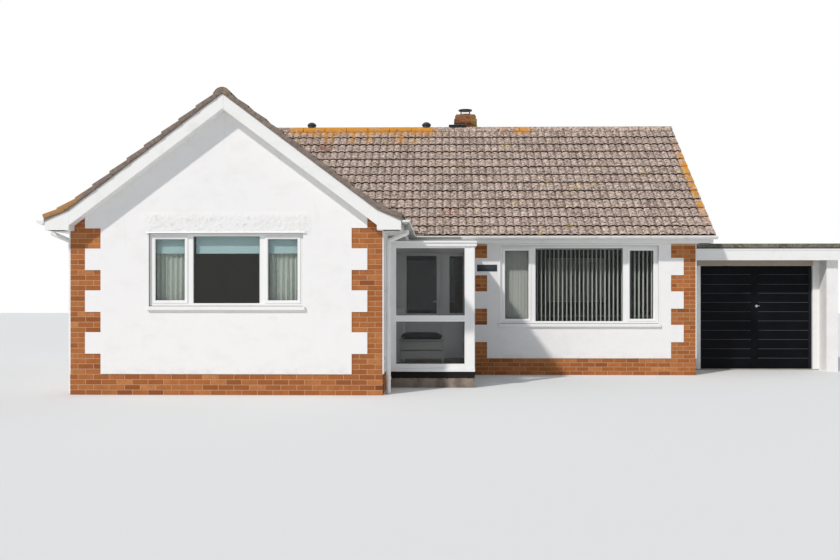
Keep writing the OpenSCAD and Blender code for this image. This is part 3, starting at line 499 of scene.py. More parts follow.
@dataclass(frozen=True)
class RoughFinish:
    """Concrete, felt, lead or soil-dark filling: one grainy colour with drifts."""

    name: str
    base: str
    dark: str
    grain: float = 110.0
    depth: float = 0.002
    roughness: float = 0.9

    def make(self) -> Material:
        """Wire the material and return it."""
        kit = Wiring(self.name, roughness=self.roughness, specular=0.25)
        grain = kit.noise(self.grain, 4.0, 0.7)
        drift = kit.step(kit.noise(3.0, 5.0, 0.6), 0.35, 0.72)
        fine = kit.step(grain, 0.5, 0.68)
        amount = kit.calc("ADD", kit.times(drift, 0.4), kit.times(fine, 0.4))
        kit.colour(kit.mix(amount, self.base, self.dark))
        kit.relief((grain, self.depth))
        return kit.material


@dataclass(frozen=True)
class GlassFinish:
    """Window glass that lets the blinds behind it show, with a painted reflection on the wing window's panes.
    """

    name: str
    tint: str = "#0c1213"
    cover: float = 0.30
    # The bright colour is a painted reflection on the wing window's glass.
    bright: str = "#20292a"

    def make(self) -> Material:
        """Wire the material and return it."""
        kit = Wiring(self.name, roughness=0.03, specular=0.6)
        smear = kit.times(kit.noise(1.7, 3.0), 0.3)
        # Painted reflection: the wing window's glass, in front of Y -3.3, takes the bright colour.
        front = kit.step(kit.axis("Y"), -3.0, -3.3)
        kit.colour(kit.mix(front, kit.mix(smear, self.tint, "#20292a"), self.bright))
        kit.set("Alpha", self.cover)
        kit.relief((kit.noise(0.9, 2.0), 0.002))
        return kit.material


@dataclass(frozen=True)
class MetalFinish:
    """Painted or bare metal with faint waves."""

    name: str
    base: str
    worn: str
    metallic: float = 0.0
    roughness: float = 0.35

    def make(self) -> Material:
        """Wire the material and return it."""
        kit = Wiring(self.name, roughness=self.roughness, specular=0.5)
        kit.set("Metallic", self.metallic)
        kit.colour(kit.mix(kit.step(kit.noise(6.0, 5.0, 0.65), 0.45, 0.8), self.base, self.worn))
        kit.relief((kit.noise(5.0, 2.0), 0.0015))
        return kit.material


@dataclass(frozen=True)
class ClothFinish:
    """Woven cloth: crossing threads, a heathered yarn and a soft sheen."""

    name: str
    base: str
    shade: str
    threads: float = 2600.0
    heather: float = 0.35
    sheen: float = 0.2

    def make(self) -> Material:
        """Wire the material and return it."""
        kit = Wiring(self.name, roughness=0.88, specular=0.2)
        kit.set("Sheen Weight", self.sheen)
        across = kit.calc("ADD", kit.axis("X"), kit.times(kit.axis("Y"), 0.37))
        along = kit.calc("ADD", kit.axis("Z"), kit.times(kit.axis("Y"), 0.83))
        warp = kit.calc("SINE", kit.times(across, self.threads))
        weft = kit.calc("SINE", kit.times(along, self.threads))
        weave = kit.step(kit.times(warp, weft), -1.0, 1.0)
        yarn = kit.step(kit.noise(90.0, 5.0, 0.7, (1.0, 1.0, 0.25)), 0.40, 0.66)
        kit.colour(self.base)
        kit.over(yarn, self.shade, self.heather)
        kit.over(weave, self.shade, 0.25)
        kit.relief((weave, 0.0004), (yarn, 0.0004))
        return kit.material


@dataclass(frozen=True)
class StackFinish:
    """The chimney's old bricks, bleached in streaks, lichened at one edge and with a painted shadow along the
    foot.
    """

    name: str = "weathered_chimney_brick"
    dark: str = "#4c2c1c"
    warm: str = "#8a502c"
    pale: str = "#b98a68"
    streak: str = "#a99077"
    foot_shadow: str = "#2f1d15"
    lichen: str = "#8f8135"

    def make(self) -> Material:
        """Wire the material and return it."""
        kit = Wiring(self.name, roughness=0.92, specular=0.2)
        x, y, z = kit.axis("X"), kit.axis("Y"), kit.axis("Z")
        kit.colour(kit.ramp(kit.value_of("tone"), (0.1, self.dark), (0.5, self.warm), (1.0, self.pale)))
        streak = kit.step(kit.noise(14.0, 5.0, 0.65, (0.7, 0.7, 2.2)), 0.50, 0.66)
        kit.over(streak, self.streak, 0.65)
        # Painted shadow: the lowest course, where the stack meets the roof, is darkened.
        kit.over(kit.step(z, 4.950, 4.930), self.foot_shadow, 0.65)
        corner = kit.all_of(kit.step(x, 5.97, 6.03), kit.step(y, 3.22, 3.10),
                            kit.step(kit.noise(22.0, 4.0), 0.36, 0.5))
        kit.over(corner, self.lichen, 0.6)
        kit.relief((kit.noise(50.0, 4.0, 0.65), 0.004), (kit.noise(220.0, 3.0), 0.0015))
        return kit.material


@dataclass(frozen=True)
class FeltFinish:
    """Mineral felt on the flat roof, lichened along its front edge, with painted shade under the drip's lower
    edge.
    """

    name: str = "mineral_felt"
    pale: str = "#827d74"
    middle: str = "#68645c"
    dark: str = "#45423c"
    lichen: str = "#84836c"

    def make(self) -> Material:
        """Wire the material and return it."""
        kit = Wiring(self.name, roughness=0.92, specular=0.2)
        y, z = kit.axis("Y"), kit.axis("Z")
        grit = kit.noise(190.0, 4.0, 0.75)
        kit.colour(kit.ramp(kit.noise(2.6, 5.0, 0.6), (0.32, self.dark), (0.5, self.middle),
                            (0.68, self.pale)))
        kit.over(kit.step(grit, 0.5, 0.64), self.dark, 0.45)
        edge = kit.all_of(kit.step(y, 0.86, 0.80), kit.step(kit.noise(16.0, 5.0), 0.45, 0.6))
        kit.over(edge, self.lichen, 0.65)
        # Painted shade: the drip's lower front edge is darkened.
        drip = kit.all_of(kit.step(y, 0.80, 0.78), kit.step(z, 2.178, 2.170))
        kit.over(drip, self.dark, 0.8)
        kit.relief((grit, 0.0018), (kit.noise(9.0, 3.0), 0.006))
        return kit.material


@dataclass(frozen=True)
class BaseFinish:
    """The porch's concrete base, with a painted shadow under the sill."""

    name: str = "porch_base_painted_shadow"
    stone: str = "#96897d"
    stain: str = "#6f645a"
    black: str = "#1f1c1a"

    def make(self) -> Material:
        """Wire the material and return it."""
        kit = Wiring(self.name, roughness=0.85, specular=0.2)
        z, grain = kit.axis("Z"), kit.noise(110.0, 4.0, 0.7)
        drift = kit.step(kit.noise(5.0, 5.0, 0.6), 0.35, 0.72)
        kit.colour(kit.mix(drift, self.stone, self.stain))
        # Painted shadow: a near-black band with a ragged lower edge under the sill.
        ragged = kit.calc("ADD", z, kit.times(kit.noise(18.0, 3.0), 0.03))
        kit.over(kit.all_of(kit.step(ragged, 0.008, 0.016), kit.step(z, 0.0995, 0.0985)), self.black)
        kit.relief((grain, 0.002))
        return kit.material


@dataclass(frozen=True)
class GutterFinish:
    """White plastic gutter, green-grey over the porch with grime and painted shade."""

    name: str = "white_gutter"
    base: str = "#ebeae7"
    dirt: str = "#b4b1a8"
    moss_and_shade: str = "#80857a"

    def make(self) -> Material:
        """Wire the material and return it."""
        kit = Wiring(self.name, roughness=0.35, specular=0.45)
        x, y, z = kit.axis("X"), kit.axis("Y"), kit.axis("Z")
        kit.colour(self.base)
        grime = kit.step(kit.noise(7.0, 5.0, 0.65, (1.0, 1.0, 0.3)), 0.45, 0.75)
        kit.over(grime, self.dirt, 0.4)
        # Over the porch the body is green-grey, partly grime and partly painted shade.
        porch_moss_and_shade = kit.all_of(kit.band(x, 4.70, 5.70, 0.04), kit.step(y, -0.22, -0.27),
                                kit.band(z, 2.22, 2.309, 0.004))
        kit.over(porch_moss_and_shade, self.moss_and_shade, 0.85)
        kit.relief((kit.noise(3.0, 2.0), 0.002))
        return kit.material


@dataclass(frozen=True)
class SteelFinish:
    """Near black paint on pressed steel, lighter on its ribs with dust and a painted highlight."""

    name: str = "black_door_paint"
    base: str = "#07080b"
    cloud: str = "#0e1014"
    dust_and_highlight: str = "#4b4f57"

    def make(self) -> Material:
        """Wire the material and return it."""
        kit = Wiring(self.name, roughness=0.45, specular=0.08)
        cloud = kit.step(kit.noise(1.6, 4.0, 0.6), 0.40, 0.75)
        kit.colour(kit.mix(cloud, self.base, self.cloud))
        speck = kit.times(kit.step(kit.noise(60.0, 3.0, 0.7), 0.66, 0.74), 0.10)
        # The ribs and edge strips are lightened: part dust, part painted highlight.
        kit.over(kit.any_of(kit.value_of("edge"), speck), self.dust_and_highlight)
        kit.relief((kit.noise(3.0, 2.0), 0.002), (kit.noise(220.0, 2.0), 0.0002))
        return kit.material


class Shape:
    """A mesh in the making, measured from the house's own corner."""

    def __init__(self) -> None:
        """Start an empty mesh whose faces carry a tone and an edge value."""
        self.mesh = bmesh.new()
        self.mesh.faces.layers.float.new("tone")
        self.mesh.faces.layers.float.new("edge")

    def mark(self, faces: Iterable[bmesh.types.BMFace], tone: float, edge: float = 0.0) -> None:
        """Give faces their tone and edge value.

        Args:
            faces: The faces.
            tone: The value that picks the colour, from 0 to 1.
            edge: How much the face takes its finish's edge colour, from 0 to 1: painted shade on tiles, dust
                with a painted highlight on the garage door.
        """
        tones = self.mesh.faces.layers.float["tone"]
        edges = self.mesh.faces.layers.float["edge"]
        for face in faces:
            face[tones] = tone
            face[edges] = edge

    def soften(self, edges: Sequence[bmesh.types.BMEdge], width: float, tone: float = 0.5,
               segments: int = 1) -> None:
        """Bevel edges.

        Args:
            edges: The edges.
            width: The bevel's width.
            tone: The tone of the new faces.
            segments: Faces across the bevel.
        """
        made = bmesh.ops.bevel(self.mesh, geom=list(edges), offset=width, offset_type="OFFSET",
                               segments=segments, profile=0.5, affect="EDGES", material=-1)
        self.mark(made["faces"], tone)

    def block(self, low: Point, high: Point, bevel: float = 0.0, tone: float = 0.5,
              segments: int = 1) -> None:
        """Add a block with softened edges.

        Args:
            low: One corner.
            high: The corner across from it.
            bevel: The bevel's width.
            tone: The faces' tone.
            segments: Faces across the bevel.
        """
        size = Vector(high) - Vector(low)
        place = Matrix.Translation((Vector(high) + Vector(low)) / 2.0)
        place = place @ Matrix.Diagonal((abs(size.x), abs(size.y), abs(size.z), 1.0))
        corners = bmesh.ops.create_cube(self.mesh, size=1.0, matrix=place)["verts"]
        self.mark({face for corner in corners for face in corner.link_faces}, tone)
        if bevel > 0.0:
            self.soften(once(edge for corner in corners for edge in corner.link_edges), bevel,
                        tone, segments)

    def prism(self, outline: Sequence[Sequence[float]], sweep: Sequence[float],
              bevel: float = 0.0, tone: float = 0.5) -> list[bmesh.types.BMFace]:
        """Add a flat outline that is swept along a straight line.

        Args:
            outline: The outline's corners, in order.
            sweep: The way that the outline moves.
            bevel: The width of the bevel on every edge.
            tone: The faces' tone.

        Returns:
            The new faces, where there is no bevel.
        """
        corners = [self.mesh.verts.new(corner) for corner in outline]
        face = self.mesh.faces.new(corners)
        grown = bmesh.ops.extrude_face_region(self.mesh, geom=[face], use_keep_orig=True)
        moved = [item for item in grown["geom"] if isinstance(item, bmesh.types.BMVert)]
        bmesh.ops.translate(self.mesh, verts=moved, vec=Vector(sweep))
        faces = once(item for corner in corners + moved for item in corner.link_faces)
        bmesh.ops.recalc_face_normals(self.mesh, faces=faces)
        self.mark(faces, tone)
        if bevel > 0.0:
            self.soften(once(edge for item in faces for edge in item.edges), bevel, tone)
            return []
        return faces

    def ring(self, low: Point, high: Point, width: float, bevel: float = 0.003,
             tone: float = 0.5, turn: float = 0.0) -> None:
        """Add an upright rectangular frame.

        Args:
            low: The lowest corner of the box that the frame fills.
            high: The highest corner.
            width: The width of its bars.
            bevel: The bevel's width.
            tone: The faces' tone.
            turn: Turns the frame about its upright axis, 90 for a frame that faces sideways.
        """
        size = Vector(high) - Vector(low)
        middle = (Vector(high) + Vector(low)) / 2.0
        wide, deep = (size.x, size.y) if turn == 0.0 else (size.y, size.x)
        place = Matrix.Translation(middle) @ Matrix.Rotation(math.radians(turn), 4, "Z")
        place = place @ Matrix.Translation((0.0, -deep / 2.0, 0.0))
        place = place @ Matrix.Rotation(math.radians(90.0), 4, "X")
        place = place @ Matrix.Diagonal((wide, size.z, 1.0, 1.0))
        corners = bmesh.ops.create_grid(self.mesh, x_segments=1, y_segments=1, size=0.5,
                                        matrix=place)["verts"]
        pane = corners[0].link_faces[0]
        rim = bmesh.ops.inset_region(self.mesh, faces=[pane], thickness=width,
                                     use_boundary=True, use_even_offset=True)["faces"]
        bmesh.ops.delete(self.mesh, geom=[pane], context="FACES")
        grown = bmesh.ops.solidify(self.mesh, geom=rim, thickness=deep)
        shell = [item for item in grown["geom"] if isinstance(item, bmesh.types.BMFace)] + rim
        faces = once(face for item in shell for edge in item.edges for face in edge.link_faces)
        self.mark(faces, tone)
        if bevel > 0.0:
            every = once(edge for face in faces for edge in face.edges)
            self.soften([edge for edge in every if edge.calc_face_angle(0.0) > 0.5], bevel, tone)

    def rod(self, start: Sequence[float], end: Sequence[float], radius: float, sides: int = 16,
            tone: float = 0.5, end_radius: float | None = None) -> None:
        """Add a round bar or cone between two points.

        Args:
            start: The middle of one end.
            end: The middle of the other end.
            radius: The radius at the start.
            sides: Faces around it.
            tone: The faces' tone.
            end_radius: The radius at the end, where it differs.
        """
        way = Vector(end) - Vector(start)
        place = Matrix.Translation((Vector(start) + Vector(end)) / 2.0)
        place = place @ way.to_track_quat("Z", "Y").to_matrix().to_4x4()
        made = bmesh.ops.create_cone(self.mesh, cap_ends=True, segments=sides, radius1=radius,
                                     radius2=radius if end_radius is None else end_radius,
                                     depth=way.length, matrix=place)["verts"]
        self.mark({face for corner in made for face in corner.link_faces}, tone)

    def hang(self, middle: Sequence[float], width: float, height: float, columns: int, rows: int) -> None:
        """Add an upright grid that faces the front.

        Args:
            middle: Its middle.
            width: Its width.
            height: Its height.
            columns: Faces across it.
            rows: Faces up it.
        """
        place = Matrix.Translation(middle) @ Matrix.Rotation(math.radians(90.0), 4, "X")
        place = place @ Matrix.Diagonal((width, height, 1.0, 1.0))
        bmesh.ops.create_grid(self.mesh, x_segments=columns, y_segments=rows, size=0.5, matrix=place)

    def stamp(self, template: Mesh, place: Matrix, tone: float) -> None:
        """Add a copy of a small ready mesh.

        Args:
            template: The ready mesh.
            place: Where the copy goes.
            tone: The tone of all its faces.
        """
        copy = template.copy()
        copy.attributes["tone"].data.foreach_set("value", [tone] * len(copy.polygons))
        copy.transform(place)
        self.mesh.from_mesh(copy)
        bpy.data.meshes.remove(copy)

    def cut(self, point: Sequence[float], outward: Sequence[float]) -> None:
        """Cut everything away beyond a plane.

        Args:
            point: A point on the plane.
            outward: The way to the side that is cut away.
        """
        every = self.mesh.verts[:] + self.mesh.edges[:] + self.mesh.faces[:]
        bmesh.ops.bisect_plane(self.mesh, geom=every, dist=1e-5, plane_co=Vector(point),
                               plane_no=Vector(outward), clear_outer=True)

    def template(self, name: str) -> Mesh:
        """Keep the shape as a ready mesh for stamping."""
        kept = bpy.data.meshes.new(name)
        self.mesh.to_mesh(kept)
        self.mesh.free()
        return kept

    def finish(self, name: str, material: Material, slot: Slot,
               body: Body = Body.HOUSE, stands_for: Sequence[str] = (),
               smooth: float = 38.0) -> Object:
        """Turn the shape into a piece of the house.

        Args:
            name: The piece's name.
            material: Its finish.
            slot: The record's slot for its finish; not used.
            body: The body that it rides on.
            stands_for: The solids that it replaces.
            smooth: The angle in degrees up to which shading is smooth.

        Returns:
            The new object.
        """
        bmesh.ops.translate(self.mesh, verts=self.mesh.verts[:], vec=HOUSE)
        data = bpy.data.meshes.new(name)
        self.mesh.to_mesh(data)
        self.mesh.free()
        data.shade_smooth()
        data.set_sharp_from_angle(angle=math.radians(smooth))
        data.materials.append(material)
        piece = bpy.data.objects.new(name, data)
        bpy.context.scene.collection.objects.link(piece)
        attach(piece, body.value)
        if stands_for:
            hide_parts(*stands_for)
        LOG.info("%s: %d faces", name, len(data.polygons))
        return piece


@dataclass(frozen=True)
class Plan:
    """The sizes that several sub-assemblies share."""

    wall: float = 0.275
    wing_width: float = 4.490
    wing_front: float = -3.600
    main_width: float = 9.890
    main_depth: float = 5.840
    plinth: float = 0.150
    soffit: float = 2.200
    slope: float = 0.75355
    foot_slope: float = 0.43481
    main_plate: float = 2.587
    wing_plate: float = 2.508
    kink: float = 0.065
    cosine: float = 0.79864

    def main_top(self, run: float) -> float:
        """Return the height of the main roof's tile plane over a distance from the wall."""
        return self.main_plate + self.slope * run

    def wing_top(self, run: float) -> float:
        """Return the height of the wing roof's tile plane, which is flatter at its foot."""
        knee = self.wing_plate + self.slope * self.kink
        if run < self.kink:
            return knee - self.foot_slope * (self.kink - run)
        return self.wing_plate + self.slope * run


PLAN = Plan()


class Side(Enum):
    """The four tiled slopes, each with the way across it and the way up it in plan."""

    MAIN_FRONT = ((1.0, 0.0, 0.0), (0.0, 1.0, 0.0))
    MAIN_REAR = ((-1.0, 0.0, 0.0), (0.0, -1.0, 0.0))
    WING_LEFT = ((0.0, -1.0, 0.0), (1.0, 0.0, 0.0))
    WING_RIGHT = ((0.0, 1.0, 0.0), (-1.0, 0.0, 0.0))


@dataclass
class RoofTile:
    """A double roll tile, the shape that is laid all over the roofs."""

    cover: float = 0.28189
    gauge: float = 0.3062
    lap: float = 0.075
    thickness: float = 0.026
    step: float = 0.028
    roll: float = 0.019
    bar: float = 0.045
    sections: tuple[float, ...] = (0.0, 0.09, 0.17, 0.30, 0.5, 0.70, 0.83, 0.91)
    heights: tuple[float, ...] = (0.0, 0.0, 0.55, 0.9, 1.0, 0.9, 0.55, 0.0)

    @property
    def length(self) -> float:
        """Return the tile's whole length."""
        return self.gauge + self.lap

    def template(self) -> Mesh:
        """Bend a sheet to the tile's rolls, thicken it and round its nose.

        Returns:
            A tile that starts at the origin, runs up along Y and has its left edge at X 0.
        """
        shape = Shape()
        columns = 2 * len(self.sections)
        bmesh.ops.create_grid(shape.mesh, x_segments=columns, y_segments=1, size=0.5)
        for corner in shape.mesh.verts:
            column = round((corner.co.x + 0.5) * columns)
            roll, part = divmod(column, len(self.sections))
            corner.co.x = (roll + self.sections[part]) * self.cover / 2.0
            corner.co.y = (corner.co.y + 0.5) * self.length
            corner.co.z = self.heights[part] * self.roll + self.thickness
        bmesh.ops.solidify(shape.mesh, geom=shape.mesh.faces[:], thickness=self.thickness)
        shape.mesh.normal_update()
        pitch = self.cover / 2.0
        # Faces beside each roll's valley are marked for the channel's painted shade.
        for face in shape.mesh.faces:
            part = (face.calc_center_median().x / pitch) % 1.0
            shape.mark([face], 0.5, 0.6 if min(part, 1.0 - part) < 0.08 else 0.0)
        # The nose and front faces are marked for the painted shadow under the nose.
        nose = [face for face in shape.mesh.faces if face.normal.y < -0.9]
        shape.mark(nose, 0.5, 1.0)
        lips = [edge for face in nose for edge in face.edges
                if any(other.normal.z > 0.3 for other in edge.link_faces)]
        shape.soften(lips, 0.005)
        front = [face for face in shape.mesh.faces if face.calc_center_median().y < 0.006]
        shape.mark(front, 0.5, 1.0)
        return shape.template("tile")

    def verge(self, drop: float) -> Mesh:
        """Make the edge bar that closes a course at the verge.

        Args:
            drop: How far it reaches below the tile's underside.

        Returns:
            A bar that starts at the origin and runs up along Y, with its outer face at X 0.
        """
        shape = Shape()
        top = self.thickness + self.roll - 0.002
        drop += 0.009
        shape.block((0.0, 0.0, -drop), (self.bar, self.gauge + 0.012, top), 0.009, segments=2)
        shape.mesh.normal_update()
        # The bar's lower end is marked for part of the channel's painted shade.
        shape.mark([face for face in shape.mesh.faces if face.normal.y < -0.9], 0.5, 0.5)
        return shape.template("verge")


@dataclass
class TiledSlope:
    """One slope with its courses of tiles."""

    side: Side
    height: Callable[[float], float]
    kink: float
    apex: float
    noses: Sequence[float]
    start: float
    end: float
    lift: float
    seed: int
    skip: Callable[[Vector], bool] = lambda point: False
    tile: RoofTile = field(default_factory=RoofTile)

    def spot(self, across: float, run: float) -> Vector:
        """Return the point of the tile plane at a place across and up the slope."""
        if self.side is Side.MAIN_FRONT:
            return Vector((across, run, self.height(run)))
        if self.side is Side.MAIN_REAR:
            return Vector((across, PLAN.main_depth - run, self.height(run)))
        if self.side is Side.WING_LEFT:
            return Vector((run, across, self.height(run)))
        return Vector((PLAN.wing_width - run, across, self.height(run)))

    def climb(self, run: float, distance: float) -> float:
        """Return the run that lies a distance further up the broken slope."""
        foot = math.cos(math.atan(PLAN.foot_slope))
        if run < self.kink:
            part = (self.kink - run) / foot
            if distance <= part:
                return run + distance * foot
            return self.kink + (distance - part) * PLAN.cosine
        return run + distance * PLAN.cosine

    def place(self, across: float, run: float, length: float, raised: float = 0.0) -> Matrix:
        """Return where a tile goes.

        Args:
            across: The place across the slope of the tile's left edge.
            run: The run of the tile's nose.
            length: The tile's length.
            raised: A height over the tile's usual place.

        Returns:
            The tile's place, tilted so that its nose lies on the course below.
        """
        way = Vector(self.side.value[0])
        nose = self.spot(across, run)
        up = (self.spot(across, self.climb(run, length)) - nose).normalized()
        over = way.cross(up)
        base = self.lift - self.tile.thickness - self.tile.step - self.tile.roll
        start = nose + over * (base + self.tile.step + raised)
        sine = self.tile.step / length
        tilted = up * math.sqrt(1.0 - sine * sine) - over * sine
        across_again = way.cross(tilted)
        turned = Matrix((way, tilted, across_again)).transposed().to_4x4()
        return Matrix.Translation(start) @ turned

    def courses(self) -> list[tuple[float, float]]:
        """Return each course's nose and its tile's length."""
        found = []
        for run in self.noses:
            length = self.tile.length
            while self.climb(run, length) > self.apex and length > 0.05:
                length -= 0.01
            found.append((run, length))
        return found

    def lay(self, shape: Shape, courses: Sequence[tuple[float, float]]) -> None:
        """Lay the courses' tiles.

        Args:
            shape: The mesh that the tiles go into.
            courses: Pairs of a nose's run and a tile's length.
        """
        template = self.tile.template()
        chance = random.Random(self.seed)
        forward = sum(self.side.value[0]) > 0.0
        count = round(abs(self.end - self.start) / self.tile.cover)
        for run, length in courses:
            drift = chance.uniform(-0.05, 0.05)
            for at in range(count):
                left = self.start + (at if forward else -at) * self.tile.cover
                tone = min(max(chance.gauss(0.5 + drift, 0.11), 0.05), 0.9)
                if chance.random() < 0.012:
                    tone = chance.uniform(0.93, 1.0)
                sink = chance.uniform(-0.002, 0.002)
                place = self.place(left, run, length, sink)
                if self.skip(place.translation):
                    continue
                scaled = place @ Matrix.Diagonal((1.0, length / self.tile.length, 1.0, 1.0))
                shape.stamp(template, scaled, tone)
        bpy.data.meshes.remove(template)

    def edge(self, shape: Shape, across: float, inward: float, drop: float) -> None:
        """Close the courses at a verge.

        Args:
            shape: The mesh that the bars go into.
            across: The place across the slope of the verge.
            inward: 1 where the slope lies on the bar's +X side, else -1.
            drop: How far the bars reach below the tiles' undersides. Each bar stands a
                little apart from its neighbours' faces.
        """
        template = self.tile.verge(drop)
        chance = random.Random(self.seed + 7)
        for at, (run, length) in enumerate(self.courses()):
            apart = (at % 2) * 0.0008 + (0.0004 if self.side is Side.WING_RIGHT else 0.0)
            shift = inward * apart - (self.tile.bar if inward < 0.0 else 0.0)
            place = self.place(across, run, length) @ Matrix.Translation((shift, 0.0, 0.0))
            short = min(length, self.tile.gauge) / self.tile.gauge
            tone = min(max(chance.gauss(0.5, 0.15), 0.1), 0.9)
            shape.stamp(template, place @ Matrix.Diagonal((1.0, short, 1.0, 1.0)), tone)
        bpy.data.meshes.remove(template)


@dataclass
class Roofs:
    """The tiled roofs with their decks, valleys, verges and ridges."""

    main_left: float = -0.270
    main_right: float = 10.160
    wing_front: float = -3.869
    main_eaves: float = -0.325
    wing_eaves: float = -0.298
    main_second: float = -0.1000
    wing_second: float = -0.0946
    wing_third: float = 0.1700
    valley: float = 0.055
    deck_drop: float = 0.074
    deck_depth: float = 0.078
    wing_lift: float = 0.0266
    main_lift: float = 0.023
    ridge_radius: float = 0.125
    ridge_length: float = 0.450
    verge_stand: float = 0.003
    split: float = 2.2672
    wing_back: float = 2.3346
    main_gauge: float = 0.24470
    wing_gauge: float = 0.2440
    main_crown: float = 4.8173
    wing_crown: float = 4.2125
    overhang: float = 0.250
    hide: float = 0.75
    bar_drop: float = 0.012

    @property
    def main_apex(self) -> float:
        """Return the run of the main ridge."""
        return PLAN.main_depth / 2.0

    @property
    def wing_apex(self) -> float:
        """Return the run of the wing's ridge."""
        return PLAN.wing_width / 2.0

    def _main_noses(self) -> list[float]:
        """Return the runs of the main roof's courses."""
        return [self.main_eaves] + [self.main_second + self.main_gauge * at for at in range(13)]

    def _wing_noses(self) -> list[float]:
        """Return the runs of the wing's courses."""
        return [self.wing_eaves, self.wing_second] + [self.wing_third + self.wing_gauge * at
                                                      for at in range(9)]

    def _crease(self, x: float) -> float:
        """Return the Y of the valley at an X of the wing's left half."""
        return (PLAN.wing_top(x) - PLAN.main_plate) / PLAN.slope

    def _crease_ways(self, mirrored: bool) -> list[tuple[Vector, Vector]]:
        """Return a point on each part of a valley and the way from main roof to wing.

        Args:
            mirrored: True for the wing's right valley.

        Returns:
            The long part first, then the part at the foot.
        """
        found = []
        for low, high in ((PLAN.kink, self.wing_apex), (-0.275, PLAN.kink)):
            start = Vector((low, self._crease(low), 0.0))
            end = Vector((high, self._crease(high), 0.0))
            along = (end - start).normalized()
            outward = Vector((along.y, -along.x, 0.0))
            if mirrored:
                start.x = PLAN.wing_width - start.x
                outward.x = -outward.x
            found.append((start, outward))
        return found

    def tile_main_front(self, material: Material) -> None:
        """Lay the front of the main roof in two parts, left and right of the wing's ridge."""
        for name, start, end, mirrored in (
                ("tiles_main_front_left", self.main_left, self.split, False),
                ("tiles_main_front_right", self.split, self.main_right, True)):
            creases = self._crease_ways(mirrored)

            def hidden(point: Vector, ways: list[tuple[Vector, Vector]] = creases) -> bool:
                """Tell whether a tile lies under the wing's roof."""
                return any((point - spot).dot(way) > self.hide for spot, way in ways)

            slope = TiledSlope(Side.MAIN_FRONT, PLAN.main_top, -9.0, self.main_apex,
                               self._main_noses(), start, end, self.main_lift,
                               11 if mirrored else 12, hidden)
            shape = Shape()
            slope.lay(shape, slope.courses())
            for spot, way in creases:
                shape.cut(spot - way * self.valley, way)
            if mirrored:
                slope.edge(shape, self.main_right + self.verge_stand, -1.0, self.bar_drop)
            else:
                slope.edge(shape, self.main_left - self.verge_stand, 1.0, self.bar_drop)
            shape.finish(name, material, Slot.TILE, stands_for=("main_roof",) if mirrored else ())

    def tile_main_rear(self, material: Material) -> None:
        """Lay the back of the main roof."""
        slope = TiledSlope(Side.MAIN_REAR, PLAN.main_top, -9.0, self.main_apex,
                           self._main_noses(), self.main_right, self.main_left,
                           self.main_lift, 13)
        shape = Shape()
        slope.lay(shape, slope.courses())
        slope.edge(shape, self.main_right + self.verge_stand, 1.0, self.bar_drop)
        slope.edge(shape, self.main_left - self.verge_stand, -1.0, self.bar_drop)
        shape.finish("tiles_main_rear", material, Slot.TILE)

    def tile_wing(self, material: Material) -> None:
        """Lay both slopes of the wing, the foot apart from the rest so that each meets its
        own part of the valley."""
        for side, mirrored, seed in ((Side.WING_LEFT, False, 21), (Side.WING_RIGHT, True, 22)):
            creases = self._crease_ways(mirrored)
            whole = Shape()
            start, end = self.wing_front + self.verge_stand, self.wing_back
            if not mirrored:
                start, end = end, start
            slope = TiledSlope(side, PLAN.wing_top, PLAN.kink, self.wing_apex,
                               self._wing_noses(), start, end, self.wing_lift, seed)
            courses = slope.courses()
            for part, (spot, way) in zip((courses[2:], courses[:2]), creases):

                def hidden(point: Vector, at: Vector = spot, out: Vector = way) -> bool:
                    """Tell whether a tile lies under the main roof."""
                    return (point - at).dot(out) < -self.hide

                slope.skip = hidden
                shape = Shape()
                slope.lay(shape, part)
                shape.cut(spot + way * self.valley, -way)
                kept = shape.template("part")
                whole.mesh.from_mesh(kept)
                bpy.data.meshes.remove(kept)
            slope.edge(whole, self.wing_front, 1.0 if mirrored else -1.0, self.bar_drop + 0.002)
            whole.finish("tiles_wing_right" if mirrored else "tiles_wing_left", material,
                         Slot.TILE, stands_for=("wing_roof",) if mirrored else ())

    def deck(self, material: Material) -> None:
        """Lay the boards and felt that the tiles rest on."""
        drop, depth = self.deck_drop, self.deck_depth
        shape = Shape()
        low, mid, high = -self.overhang, self.main_apex, PLAN.main_depth + self.overhang
        line = [(low, PLAN.main_top(low)), (mid, PLAN.main_top(mid)), (high, PLAN.main_top(low))]
        outline = [(-0.218, y, z - drop) for y, z in line]
        outline += [(-0.218, y, z - drop - depth) for y, z in reversed(line)]
        faces = shape.prism(outline, (10.326, 0.0, 0.0))
        knee, mid = PLAN.kink, self.wing_apex
        for low, near, far in ((-self.overhang, -3.818, -0.240), (0.0, -0.240, 2.180)):
            half = [(low, PLAN.wing_top(low)), (knee, PLAN.wing_top(knee))]
            line = half + [(mid, PLAN.wing_top(mid))]
            line += [(PLAN.wing_width - x, z) for x, z in reversed(half)]
            outline = [(x, near, z - drop) for x, z in line]
            outline += [(x, near, z - drop - depth) for x, z in reversed(line)]
            faces += shape.prism(outline, (0.0, far - near, 0.0))
        for face in faces:
            if face.normal.z < -0.2:
                shape.mark([face], 0.5, 1.0)
        shape.finish("roof_deck", material, Slot.TILE)

